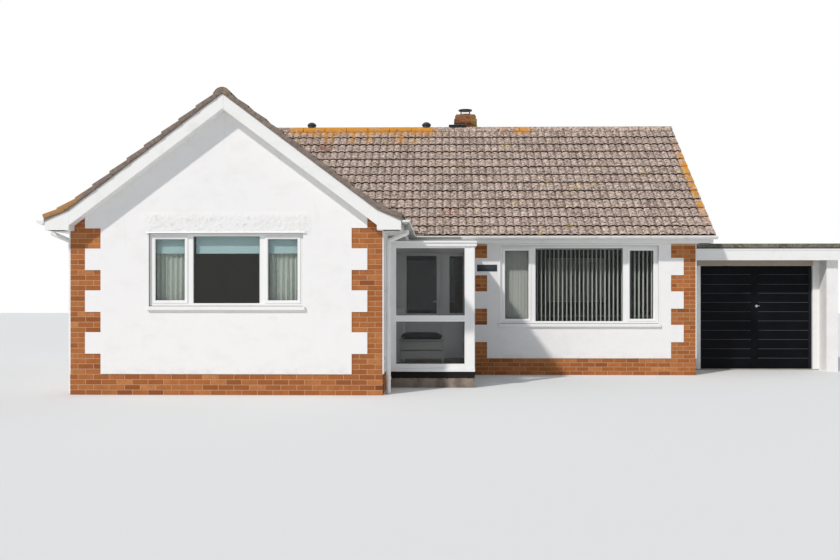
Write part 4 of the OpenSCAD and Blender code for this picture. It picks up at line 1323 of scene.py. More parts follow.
    def valleys(self, material: Material) -> None:
        """Line both valleys with lead."""
        shape = Shape()
        reach = 0.115
        for mirrored in (False, True):
            steps = [-0.270, -0.10, PLAN.kink, 0.8, 1.5, self.wing_apex - 0.02]
            rows = []
            for x in steps:
                y = self._crease(x)
                along = 1.0 if x > PLAN.kink else PLAN.foot_slope / PLAN.slope
                side = Vector((along, -1.0, 0.0)).normalized() * reach
                wing = Vector((x, y, 0.0)) + side
                main = Vector((x, y, 0.0)) - side
                wing.z = PLAN.wing_top(wing.x) - self.deck_drop + 0.012
                main.z = PLAN.main_top(main.y) - self.deck_drop + 0.012
                fold = Vector((x, y, PLAN.main_top(y) - self.deck_drop + 0.006))
                row = [wing, fold, main]
                for point in row:
                    point.x = max(point.x, -0.262)
                if mirrored:
                    for point in row:
                        point.x = PLAN.wing_width - point.x
                rows.append([shape.mesh.verts.new(point) for point in row])
            faces = []
            for first, second in zip(rows, rows[1:]):
                for left, right in ((0, 1), (1, 2)):
                    faces.append(shape.mesh.faces.new((first[left], first[right],
                                                       second[right], second[left])))
            bmesh.ops.recalc_face_normals(shape.mesh, faces=faces)
            if faces[0].normal.z < 0.0:
                bmesh.ops.reverse_faces(shape.mesh, faces=faces)
            bmesh.ops.solidify(shape.mesh, geom=faces, thickness=0.004)
        shape.finish("valley_linings", material, Slot.TILE)

    def beds(self, material: Material) -> None:
        """Fill under the verges and the eaves with mortar."""
        shape = Shape()
        main, wing = PLAN.main_depth, PLAN.wing_width
        lines = (
            (Vector((1.0, 0.0, 0.0)), -0.256, -0.222, main, [-0.318], self.main_lift, -0.0605),
            (Vector((1.0, 0.0, 0.0)), 10.112, 10.146, main, [-0.318], self.main_lift, -0.0605),
            (Vector((0.0, 1.0, 0.0)), -3.856, -3.822, wing, [-0.285, PLAN.kink],
             self.wing_lift, -0.0795),
        )
        for way, low, high, width, runs, lift, bottom in lines:
            height = PLAN.main_top if width == main else PLAN.wing_top
            half = [(run, height(run)) for run in runs]
            line = half + [(width / 2.0, height(width / 2.0))]
            line += [(width - run, z) for run, z in reversed(half)]
            top = (lift - 0.037) / PLAN.cosine
            flat = [(run, z + top) for run, z in line]
            flat += [(run, z + bottom) for run, z in reversed(line)]
            if way.x > 0.5:
                outline = [(low, run, z) for run, z in flat]
            else:
                outline = [(run, low, z) for run, z in flat]
            shape.prism(outline, way * (high - low))
        z = PLAN.main_top(-0.290)
        for y, start in ((-0.290, 4.780), (main + 0.290, -0.225)):
            shape.block((start, y - 0.012, z - 0.034), (10.115, y + 0.018, z - 0.003))
        z = PLAN.wing_top(-0.280)
        for x in (-0.280, wing + 0.280):
            shape.block((x - 0.010, -3.822, z - 0.056), (x + 0.010, -0.330, z - 0.003))
        shape.finish("verge_and_eaves_beds", material, Slot.TILE)

    def _ridge_tile(self, rise: float) -> Mesh:
        """Bend a sheet to a ridge tile that runs along Y from the origin.

        Args:
            rise: Its height as a share of a half round one's.

        Returns:
            The ready tile.
        """
        shape = Shape()
        columns = 12
        bmesh.ops.create_grid(shape.mesh, x_segments=columns, y_segments=1, size=0.5)
        for corner in shape.mesh.verts:
            turn = corner.co.x * math.radians(184.0)
            corner.co.x = self.ridge_radius * math.sin(turn)
            corner.co.z = self.ridge_radius * (math.cos(turn) - 1.0) * rise
            corner.co.y = (corner.co.y + 0.5) * (self.ridge_length - 0.007)
        bmesh.ops.solidify(shape.mesh, geom=shape.mesh.faces[:], thickness=0.015)
        shape.mesh.normal_update()
        ends = [face for face in shape.mesh.faces if abs(face.normal.y) > 0.9]
        lips = once(edge for face in ends for edge in face.edges
                    if any(abs(other.normal.y) < 0.5 for other in edge.link_faces))
        # The tile ends are marked for the channel's painted shade, which darkens the joints between tiles.
        shape.mark(ends, 0.5, 0.6)
        shape.soften(lips, 0.003)
        return shape.template("ridge")

    def ridges(self, tile: Material, mortar: Material) -> None:
        """Set the ridge tiles and their mortar.

        Args:
            tile: The ridge tiles' finish.
            mortar: The finish of the bedding.
        """
        tiles, bedding = Shape(), Shape()
        chance = random.Random(31)
        up = Vector((0.0, 0.0, 1.0))
        runs = (
            (Vector((self.main_left + 0.006, self.main_apex, self.main_crown)), Vector((1.0, 0.0, 0.0)),
             10.418, PLAN.main_top(self.main_apex), 0.77),
            (Vector((self.wing_apex, self.wing_front + 0.004, self.wing_crown)), Vector((0.0, 1.0, 0.0)),
             5.861, PLAN.wing_top(self.wing_apex), 1.0),
        )
        inner = self.ridge_radius - 0.009
        for start, way, length, apex, flat in runs:
            template = self._ridge_tile(flat)
            across = way.cross(up)
            turned = Matrix((across, way, up)).transposed().to_4x4()
            count = round(length / self.ridge_length)
            pitch = length / count
            for at in range(count):
                place = Matrix.Translation(start + way * (pitch * at)) @ turned
                place = place @ Matrix.Rotation(chance.uniform(-0.01, 0.01), 4, "Y")
                stretch = Matrix.Diagonal((1.0, pitch / self.ridge_length, 1.0, 1.0))
                pale = 0.72 if start.y > 0.0 and pitch * at > 6.5 else 0.45
                tiles.stamp(template, place @ stretch, min(chance.gauss(pale, 0.1), 0.9))
            side = apex - PLAN.slope * inner - start.z
            arc = []
            for turn in range(-90, 91, 15):
                angle = math.radians(turn)
                rise = (inner * math.cos(angle) - self.ridge_radius) * flat
                if rise > side:
                    arc.append(start + across * (inner * math.sin(angle)) + up * rise)
            cap = arc + [start + across * inner + up * (side + 0.004), start + up * (apex - start.z
                         - 0.012), start - across * inner + up * (side + 0.004)]
            bedding.prism([point + way * 0.006 for point in cap], way * (length - 0.014))
            core = arc + [start + across * inner + up * (side - 0.055),
                          start - across * inner + up * (side - 0.055)]
            bedding.prism([point + way * 0.050 for point in core], way * (length - 0.100))
            bpy.data.meshes.remove(template)
        tiles.finish("ridge_tiles_laid", tile, Slot.TILE, stands_for=("ridge_tiles",))
        bedding.finish("ridge_bedding", mortar, Slot.TILE)

    def build(self, finishes: Finishes) -> None:
        """Build every piece of the roofs."""
        self.tile_main_front(finishes.tile)
        self.tile_main_rear(finishes.tile)
        self.tile_wing(finishes.tile)
        self.deck(finishes.deck)
        self.valleys(finishes.lead)
        self.beds(finishes.bed)
        self.ridges(finishes.tile, finishes.mortar)


@dataclass
class Brickwork:
    """The facing bricks of corners, plinths and chimney."""

    length: float = 0.215
    height: float = 0.065
    joint: float = 0.010
    proud: float = 0.004
    deep: float = 0.030
    bevel: float = 0.0035
    narrow: float = 0.215
    wide: float = 0.440
    doorway: float = 5.720
    seed: int = 5
    templates: dict[tuple[float, float, float], Mesh] = field(default_factory=dict)

    @property
    def pitch(self) -> float:
        """Return the length of a brick with its joint."""
        return self.length + self.joint

    @property
    def course(self) -> float:
        """Return the height of a course."""
        return self.height + self.joint

    def _brick(self, size: tuple[float, float, float]) -> Mesh:
        """Return a ready brick of a size, its low corner at the origin."""
        key = (round(size[0], 4), round(size[1], 4), round(size[2], 4))
        if key not in self.templates:
            shape = Shape()
            shape.block((0.0, 0.0, 0.0), key, self.bevel)
            self.templates[key] = shape.template("brick")
        return self.templates[key]

    def put(self, shape: Shape, low: Point, high: Point, chance: random.Random) -> None:
        """Set one brick.

        Args:
            shape: The mesh that it goes into.
            low: Its lowest corner.
            high: Its highest corner.
            chance: The source of its tone.
        """
        size = (high[0] - low[0], high[1] - low[1], high[2] - low[2])
        tone = min(max(chance.gauss(0.52, 0.15), 0.0), 1.0)
        shape.stamp(self._brick(size), Matrix.Translation(low), tone)

    def spans(self, start: float, end: float, reference: float, odd: bool) -> list[tuple[float, float]]:
        """Split a stretch of a course into bricks.

        Args:
            start: Where the stretch begins.
            end: Where it ends.
            reference: Where an even course has a brick's left end.
            odd: True for a course that is shifted by half a brick.

        Returns:
            The bricks' ends.
        """
        shift = self.pitch / 2.0 if odd else 0.0
        first = math.floor((start - reference + shift) / self.pitch) - 1
        found = []
        for at in range(first, first + int((end - start) / self.pitch) + 4):
            left = max(reference + at * self.pitch - shift, start)
            right = min(reference + at * self.pitch - shift + self.length, end)
            if right - left > 0.030:
                found.append((left, right))
        return found

    def front(self, shape: Shape, y: float, course: int, stretch: tuple[float, float],
              reference: float, chance: random.Random, facing: float = -1.0,
              corners: tuple[bool, bool] = (False, False)) -> None:
        """Lay one stretch of a course in a wall that faces the front or the rear.

        Args:
            shape: The mesh that the bricks go into.
            y: The wall's face.
            course: The course, 0 for the first over the plinth.
            stretch: Where it starts and ends.
            reference: Where an even course has a brick's left end.
            chance: The source of the bricks' tones.
            facing: -1 for a front wall, 1 for a rear wall.
            corners: Whether the stretch's left and right ends are free corners.
        """
        z = PLAN.plinth + course * self.course
        for left, right in self.spans(*stretch, reference, course % 2 != 0):
            deep = self.deep
            ends = [left, right]
            if corners[0] and left - stretch[0] < 0.001:
                deep = 0.1025 if right - left > 0.15 else self.length
                ends[0] -= self.proud
            if corners[1] and stretch[1] - right < 0.001:
                deep = 0.1025 if right - left > 0.15 else self.length
                ends[1] += self.proud
            inner, outer = sorted((y + facing * self.proud, y - facing * deep))
            self.put(shape, (ends[0], inner, z), (ends[1], outer, z + self.height), chance)

    def side(self, shape: Shape, x: float, course: int, stretch: tuple[float, float],
             reference: float, chance: random.Random, facing: float) -> None:
        """Lay one stretch of a course in a wall that faces left or right.

        Args:
            shape: The mesh that the bricks go into.
            x: The wall's face.
            course: The course.
            stretch: Where it starts and ends along Y.
            reference: Where an even course has a brick's front end.
            chance: The source of the bricks' tones.
            facing: -1 for a wall that faces left, 1 for one that faces right.
        """
        z = PLAN.plinth + course * self.course
        for near, far in self.spans(*stretch, reference, course % 2 == 0):
            inner, outer = sorted((x + facing * self.proud, x - facing * self.deep))
            self.put(shape, (inner, near, z), (outer, far, z + self.height), chance)

    def under_slope(self, course: int) -> float:
        """Return how far from the wing's corner a course starts under the sloping wall top."""
        top = PLAN.plinth + course * self.course + self.height
        return max((top - PLAN.wing_plate + 0.172) / PLAN.slope, 0.0)

    def turned(self, course: int) -> float:
        """Return how far the front's corner brick reaches round into a side wall."""
        return self.pitch / 2.0 if course % 2 == 0 else self.pitch

    def _toothed(self, course: int) -> float:
        """Return how wide a corner is at a course."""
        return self.wide if course % 8 < 4 and course < 28 else self.narrow

    def wing(self, material: Material) -> None:
        """Brick the wing's front and the plinths of its sides."""
        shape, chance = Shape(), random.Random(self.seed)
        right = PLAN.wing_width
        for course in range(-4, 31):
            if course < 0:
                self.front(shape, PLAN.wing_front, course, (0.0, right), 0.0, chance,
                           corners=(True, True))
                start = PLAN.wing_front + self.turned(course)
                self.side(shape, 0.0, course, (start, PLAN.main_depth - self.pitch / 2.0),
                          PLAN.wing_front, chance, -1.0)
                self.side(shape, right, course, (start, -self.proud), PLAN.wing_front, chance, 1.0)
                continue
            wide = self._toothed(course)
            start = self.under_slope(course)
            if start < wide:
                self.front(shape, PLAN.wing_front, course, (start, wide), 0.0, chance)
                self.front(shape, PLAN.wing_front, course, (right - wide, right - start), 0.0, chance)
        shape.finish("bricks_wing", material, Slot.BRICK)

    def main(self, material: Material) -> None:
        """Brick the main range's front, its right plinth and the doorway's corner."""
        shape, chance = Shape(), random.Random(self.seed + 1)
        right = PLAN.main_width
        for course in range(-4, 27):
            if course < 0:
                self.front(shape, 0.0, course, (PLAN.wing_width + 0.005, right), 0.0, chance,
                           corners=(False, True))
                self.side(shape, right, course, (self.turned(course), PLAN.main_depth
                          - self.pitch / 2.0), 0.0, chance, 1.0)
                continue
            wide = self._toothed(course)
            self.front(shape, 0.0, course, (right - wide, right), 0.0, chance)
            self.front(shape, 0.0, course, (5.780, self.doorway + wide), self.doorway - 3 * self.pitch, chance)
            z = PLAN.plinth + course * self.course
            if course < 26:
                self.put(shape, (5.776, 0.030, z), (5.806, 0.093, z + self.height), chance)
        shape.finish("bricks_main", material, Slot.BRICK)

    def rear(self, material: Material) -> None:
        """Brick the rear's corners and plinth."""
        shape, chance = Shape(), random.Random(self.seed + 2)
        right = PLAN.main_width
        for course in range(-4, 27):
            if course < 0:
                self.front(shape, PLAN.main_depth, course, (0.0, right), 0.0, chance, 1.0, (True, True))
                continue
            wide = self._toothed(course)
            self.front(shape, PLAN.main_depth, course, (0.0, wide), 0.0, chance, 1.0)
            self.front(shape, PLAN.main_depth, course, (right - wide, right), 0.0, chance, 1.0)
        shape.finish("bricks_rear", material, Slot.BRICK)

    def chimney(self, material: Material) -> None:
        """Brick the stack over the roof, each course turned against the one below."""
        shape, chance = Shape(), random.Random(self.seed + 3)
        header, joint = 0.1065, self.joint
        for course in range(55, 66):
            z = PLAN.plinth + course * self.course
            top = z + self.height
            inset = 0.020 if course == 65 else 0.0
            left, right = 5.618 + inset, 6.096 - inset
            near, far = 3.053 + inset, 3.531 - inset
            long = (right - left - self.joint) / 2.0
            x1, y1 = left + header + joint, near + header + joint
            x2, y2 = right - header - joint, far - header - joint
            if course % 2 == 0:
                rows = ((x1, near, x1 + long, near + header),
                        (x1 + long + joint, near, right, near + header),
                        (x2 - long, far - header, x2, far),
                        (left, far - header, x2 - long - joint, far),
                        (right - header, y1, right, y1 + long),
                        (left, y2 - long, left + header, y2),
                        (left, near, left + header, y2 - long - joint),
                        (right - header, far - header, right, far))
            else:
                middle = left + long
                rows = ((left, near, middle, near + header),
                        (middle + joint, near, right, near + header),
                        (left, far - header, middle, far),
                        (middle + joint, far - header, right, far),
                        (left, y1, left + header, y2), (right - header, y1, right, y2))
            for x, y, far_x, far_y in rows:
                self.put(shape, (x, y, z), (far_x, far_y, top), chance)
        shape.finish("bricks_chimney", material, Slot.BRICK)

    def build(self, finishes: Finishes) -> None:
        """Lay all the bricks."""
        self.wing(finishes.brick)
        self.main(finishes.brick)
        self.rear(finishes.brick)
        self.chimney(finishes.stack)
        for template in self.templates.values():
            bpy.data.meshes.remove(template)


class Opening(Enum):
    """How a window's light is made."""

    FIXED = "fixed"
    SASH = "sash"


@dataclass
class Window:
    """A white window: an outer frame, mullions, sashes that open, beads and dark gaskets."""

    name: str
    left: float
    width: float
    bottom: float
    top: float
    front: float
    parts: Sequence[tuple[float, float, Opening]]
    node: str
    facing: float = -1.0
    depth: float = 0.060
    frame: float = 0.045
    sash: float = 0.036
    stands_in: bool = True

    def _slab(self, near: float, far: float) -> tuple[float, float]:
        """Return Y bounds from two depths behind the frame's outer face."""
        ends = (self.front - self.facing * near, self.front - self.facing * far)
        return (min(ends), max(ends))

    def build(self, finishes: Finishes) -> None:
        """Build the window's frame and gaskets."""
        white, dark = Shape(), Shape()
        y0, y1 = self._slab(0.0, self.depth)
        white.ring((self.left, y0, self.bottom), (self.left + self.width, y1, self.top),
                   self.frame, 0.004)
        for (_, right, _), (left, _, _) in zip(self.parts, self.parts[1:]):
            white.block((right, y0 + 0.003, self.bottom + self.frame - 0.004),
                        (left, y1 - 0.003, self.top - self.frame + 0.004), 0.004)
        for left, right, kind in self.parts:
            low, high = self.bottom + self.frame, self.top - self.frame
            if kind is Opening.SASH:
                y0, y1 = self._slab(-0.010, self.depth - 0.006)
                white.ring((left - 0.006, y0, low - 0.006), (right + 0.006, y1, high + 0.006),
                           self.sash + 0.006, 0.005)
                left, right = left + self.sash, right - self.sash
                low, high = low + self.sash, high - self.sash
            inset = 0.002 if kind is Opening.SASH else -0.004
            y0, y1 = self._slab(0.003, 0.018)
            white.ring((left - 0.008, y0, low - 0.008), (right + 0.008, y1, high + 0.008),
                       0.012 + inset, 0.002)
            y0, y1 = self._slab(0.010, 0.019)
            dark.ring((left - 0.002, y0, low - 0.002), (right + 0.002, y1, high + 0.002),
                      0.010 + inset, 0.0)
        y0, y1 = self._slab(-0.004, 0.004)
        seal = Shape()
        seal.ring((self.left - 0.004, y0, self.bottom), (self.left + self.width + 0.004, y1,
                  self.top + 0.004), 0.009, 0.002)
        self._handles(white)
        stands_for = (self.node,) if self.stands_in else ()
        white.finish(self.name, finishes.frame, Slot.FRAME, stands_for=stands_for)
        dark.finish(self.name + "_gaskets", finishes.gasket_and_shadow, Slot.FRAME)
        seal.finish(self.name + "_seal", finishes.seal, Slot.FRAME)

    def _handles(self, white: Shape) -> None:
        """Put a handle inside each sash, on the edge away from its hinges."""
        middle = self.left + self.width / 2.0
        for left, right, kind in self.parts:
            if kind is not Opening.SASH:
                continue
            inner = right if abs(right - middle) < abs(left - middle) else left
            x = inner + (-0.021 if inner == right else 0.021)
            z = (self.bottom + self.top) / 2.0
            y0, y1 = self._slab(self.depth - 0.006, self.depth + 0.006)
            white.block((x - 0.013, y0, z - 0.035), (x + 0.013, y1, z + 0.035), 0.004)
            y0, y1 = self._slab(self.depth + 0.006, self.depth + 0.030)
            white.block((x - 0.008, y0, z - 0.010), (x + 0.008, y1, z + 0.110), 0.006)


@dataclass
class RollerBlinds:
    """The wing's three roller blinds, each let down a little way."""

    lights: Sequence[tuple[str, float, float]] = (("left", 1.196, 1.668),
                                                  ("middle", 1.785, 2.705),
                                                  ("right", 2.822, 3.294))
    bottom: float = 1.885
    top: float = 2.135
    y: float = -3.479
    tube: float = 0.014

    def build(self, finishes: Finishes) -> None:
        """Hang the tubes, the cloths and their bottom bars."""
        hard = Shape()
        for _, left, right in self.lights:
            hard.rod((left - 0.008, self.y + 0.010, self.top), (right + 0.008, self.y + 0.010,
                     self.top), self.tube)
            hard.block((left, self.y - 0.005, self.bottom - 0.004), (right, self.y + 0.005,
                       self.bottom + 0.018), 0.003)
        rail = hard.finish("roller_tubes_and_bars", finishes.roller, Slot.BLIND)
        for number, (side, left, right) in enumerate(self.lights):
            cloth = Shape()
            width, height = right - left, self.top - self.bottom
            cloth.hang(((left + right) / 2.0, self.y, self.bottom + height / 2.0), width, height, 20, 10)
            for corner in cloth.mesh.verts:
                part = (corner.co.x - left) / width
                corner.co.y += 0.0016 * math.sin(7.0 * part + number)
            bmesh.ops.solidify(cloth.mesh, geom=cloth.mesh.faces[:], thickness=0.0008)
            piece = cloth.finish("roller_blind_" + side, finishes.roller, Slot.BLIND,
                                 stands_for=("window_blinds",) if number == 0 else ())


@dataclass
class Curtain:
    """A gathered curtain in soft upright folds."""

    name: str
    left: float
    right: float
    seed: float
    bottom: float = 1.150
    top: float = 2.140
    y: float = -3.423
    fold: float = 0.023
    pitch: float = 0.068

    def build(self, finishes: Finishes) -> None:
        """Gather the cloth and hang it."""
        cloth = Shape()
        width, height = self.right - self.left, self.top - self.bottom
        cloth.hang(((self.left + self.right) / 2.0, self.y, self.bottom + height / 2.0), width,
                   height, 84, 16)
        for corner in cloth.mesh.verts:
            part = (corner.co.x - self.left) / width
            drop = (self.top - corner.co.z) / height
            phase = math.tau * part * width / self.pitch
            phase += 0.9 * math.sin(4.4 * part + self.seed)
            phase += 0.4 * drop * math.sin(9.0 * part + 2.0 * self.seed)
            swing = self.fold * (0.78 + 0.22 * math.sin(5.3 * part + 1.7 * drop + self.seed))
            corner.co.y += swing * (0.75 + 0.25 * drop) * math.sin(phase)
            corner.co.x += 0.010 * drop * math.sin(2.0 * phase) * (1.0 - abs(2.0 * part - 1.0))
        flat_width = sum(face.calc_area() for face in cloth.mesh.faces) / height
        bmesh.ops.solidify(cloth.mesh, geom=cloth.mesh.faces[:], thickness=0.0012)
        piece = cloth.finish(self.name, finishes.curtain, Slot.BLIND, smooth=60.0)


@dataclass
class SlatBlind:
    """A blind of upright cloth slats with its rail, hem weights and bead chains."""

    name: str
    left: float
    right: float
    bottom: float
    top: float
    y: float
    turn: float
    pitch: float = 0.0775
    slat: float = 0.089
    chained: bool = False
    loose: float = 2.5

    def _slat(self, height: float) -> Mesh:
        """Return a ready slat with a slight camber that hangs from the origin."""
        shape = Shape()
        shape.hang((0.0, 0.0, -height / 2.0), self.slat, height, 4, 6)
        for corner in shape.mesh.verts:
            part = 2.0 * corner.co.x / self.slat
            corner.co.y += 0.004 * (1.0 - part * part)
        bmesh.ops.solidify(shape.mesh, geom=shape.mesh.faces[:], thickness=0.0007)
        return shape.template("slat")

    def _hook(self, height: float) -> Mesh:
        """Return a ready hook and hem weight for one slat."""
        shape = Shape()
        shape.block((-0.012, -0.002, -0.014), (0.012, 0.006, 0.010), 0.002)
        shape.block((-0.040, -0.001, -height), (0.040, 0.006, -height + 0.022), 0.002)
        return shape.template("hook")

    def _chain(self, hard: Shape, y: float, z: float) -> None:
        """String a bead chain from slat to slat."""
        hard.rod((self.left, y, z), (self.right, y, z), 0.0008, 6)
        count = int((self.right - self.left) / 0.012)
        for at in range(count):
            bead = Matrix.Translation((self.left + 0.012 * (at + 0.5), y, z))
            bmesh.ops.create_icosphere(hard.mesh, subdivisions=1, radius=0.0025, matrix=bead)

    def build(self, finishes: Finishes) -> None:
        """Hang the slats from their rail."""
        cloth, hard = Shape(), Shape()
        height = self.top - self.bottom - 0.040
        slat, hook = self._slat(height), self._hook(height)
        chance = random.Random(len(self.name))
        count = max(round((self.right - self.left) / self.pitch), 1)
        step = (self.right - self.left) / count
        for at in range(count):
            turned = math.radians(self.turn + chance.uniform(-self.loose, self.loose))
            place = Matrix.Translation((self.left + step * (at + 0.5), self.y, self.top - 0.040))
            place = place @ Matrix.Rotation(turned, 4, "Z")
            cloth.stamp(slat, place, chance.uniform(0.35, 0.65))
            hard.stamp(hook, place, 0.5)
        hard.block((self.left - 0.02, self.y - 0.022, self.top - 0.030),
                   (self.right + 0.02, self.y + 0.022, self.top), 0.004)
        if self.chained:
            self._chain(hard, self.y - 0.040, self.bottom + 0.105)
            self._chain(hard, self.y + 0.040, self.bottom + 0.105)
        for ready in (slat, hook):
            bpy.data.meshes.remove(ready)
        rail = hard.finish(self.name + "_rail", finishes.roller_bar, Slot.BLIND)
        piece = cloth.finish(self.name, finishes.slat, Slot.BLIND)


@dataclass
class BenchCushion:
    """The porch bench's long cushion: a stuffed cover with a piped seam."""

    low: Point = (4.700, -2.343, 0.5915)
    high: Point = (5.346, -2.037, 0.672)
    corner: float = 0.075
    voxel: float = 0.006
    cap: float = 0.026
    pressure: float = 4.0
    frames: int = 20

    def _blank(self) -> Mesh:
        """Shape the unstuffed cover, a low block with round corners."""
        shape = Shape()
        shape.block(self.low, self.high)
        upright = [edge for edge in shape.mesh.edges
                   if abs(edge.verts[0].co.z - edge.verts[1].co.z) > 0.01]
        shape.soften(upright, self.corner, segments=6)
        level = [edge for edge in shape.mesh.edges
                 if abs(edge.verts[0].co.z - edge.verts[1].co.z) < 1e-5
                 and edge.calc_face_angle(0.0) > 1.0]
        shape.soften(level, 0.030, segments=4)
        return shape.template("cushion_blank")

    def _remesh(self, holder: Object) -> None:
        """Give the cover an even net of small faces."""
        net = holder.modifiers.new("net", "REMESH")
        net.mode = "VOXEL"
        net.voxel_size = self.voxel
        self._apply(holder)

    def _apply(self, holder: Object) -> None:
        """Turn what the modifiers make into the object's own mesh."""
        view = bpy.context.evaluated_depsgraph_get()
        made = bpy.data.meshes.new_from_object(holder.evaluated_get(view))
        holder.modifiers.clear()
        old, holder.data = holder.data, made
        bpy.data.meshes.remove(old)

    def _stuff(self, holder: Object) -> None:
        """Blow the cover up while its seam holds."""
        middle = (self.low[2] + self.high[2]) / 2.0
        seam = holder.vertex_groups.new(name="seam")
        held = [corner.index for corner in holder.data.vertices
                if abs(corner.co.z - middle) < self.voxel * 0.8]
        seam.add(held, 1.0, "REPLACE")
        before = [corner.co.copy() for corner in holder.data.vertices]
        cloth = holder.modifiers.new("cover", "CLOTH")
        cloth.settings.use_pressure = True
        cloth.settings.uniform_pressure_force = self.pressure
        cloth.settings.quality = 6
        cloth.settings.vertex_group_mass = "seam"
        cloth.settings.effector_weights.gravity = 0.0
        cloth.point_cache.frame_start = 1
        cloth.point_cache.frame_end = self.frames
        for frame_number in range(1, self.frames + 1):
            bpy.context.scene.frame_set(frame_number)
            bpy.context.evaluated_depsgraph_get()
        self._apply(holder)
        bpy.context.scene.frame_set(1)
        for corner, start in zip(holder.data.vertices, before):
            moved = corner.co - start
            if moved.length > self.cap:
                corner.co = start + moved.normalized() * self.cap
            corner.co.z = max(corner.co.z, self.low[2])

    def _piping(self) -> Shape:
        """Run a cord round the seam."""
        shape = Shape()
        middle = (self.low[2] + self.high[2]) / 2.0
        points = []
        centres = ((self.high[0] - self.corner, self.high[1] - self.corner, 0.0),
                   (self.low[0] + self.corner, self.high[1] - self.corner, 90.0),
                   (self.low[0] + self.corner, self.low[1] + self.corner, 180.0),
                   (self.high[0] - self.corner, self.low[1] + self.corner, 270.0))
        for x, y, start in centres:
            for part in range(9):
                angle = math.radians(start + 90.0 * part / 8.0)
                points.append(Vector((x + self.corner * math.cos(angle),
                                      y + self.corner * math.sin(angle), middle)))
        for at, point in enumerate(points):
            after = points[(at + 1) % len(points)]
            if (after - point).length > 1e-4:
                shape.rod(point, after, 0.0035, 10)
            bmesh.ops.create_uvsphere(shape.mesh, u_segments=10, v_segments=6, radius=0.0035,
                                      matrix=Matrix.Translation(point))
        return shape

    def build(self, finishes: Finishes) -> None:
        """Make the cushion, stuff it and pipe its seam."""
        cover = Shape()
        blank = self._blank()
        holder = bpy.data.objects.new("cushion_holder", blank)
        bpy.context.scene.collection.objects.link(holder)
        self._remesh(holder)
        self._stuff(holder)
        blank = holder.data
        bpy.data.objects.remove(holder)
        cover.mesh.from_mesh(blank)
        bpy.data.meshes.remove(blank)
        piece = cover.finish("bench_cushion_cover", finishes.cushion, Slot.CUSHION,
                             stands_for=("bench_cushion",), smooth=180.0)
        smoother = piece.modifiers.new("finer", "SUBSURF")
        smoother.levels = 1
        smoother.render_levels = 1
        self._piping().finish("bench_cushion_piping", finishes.cushion, Slot.CUSHION)


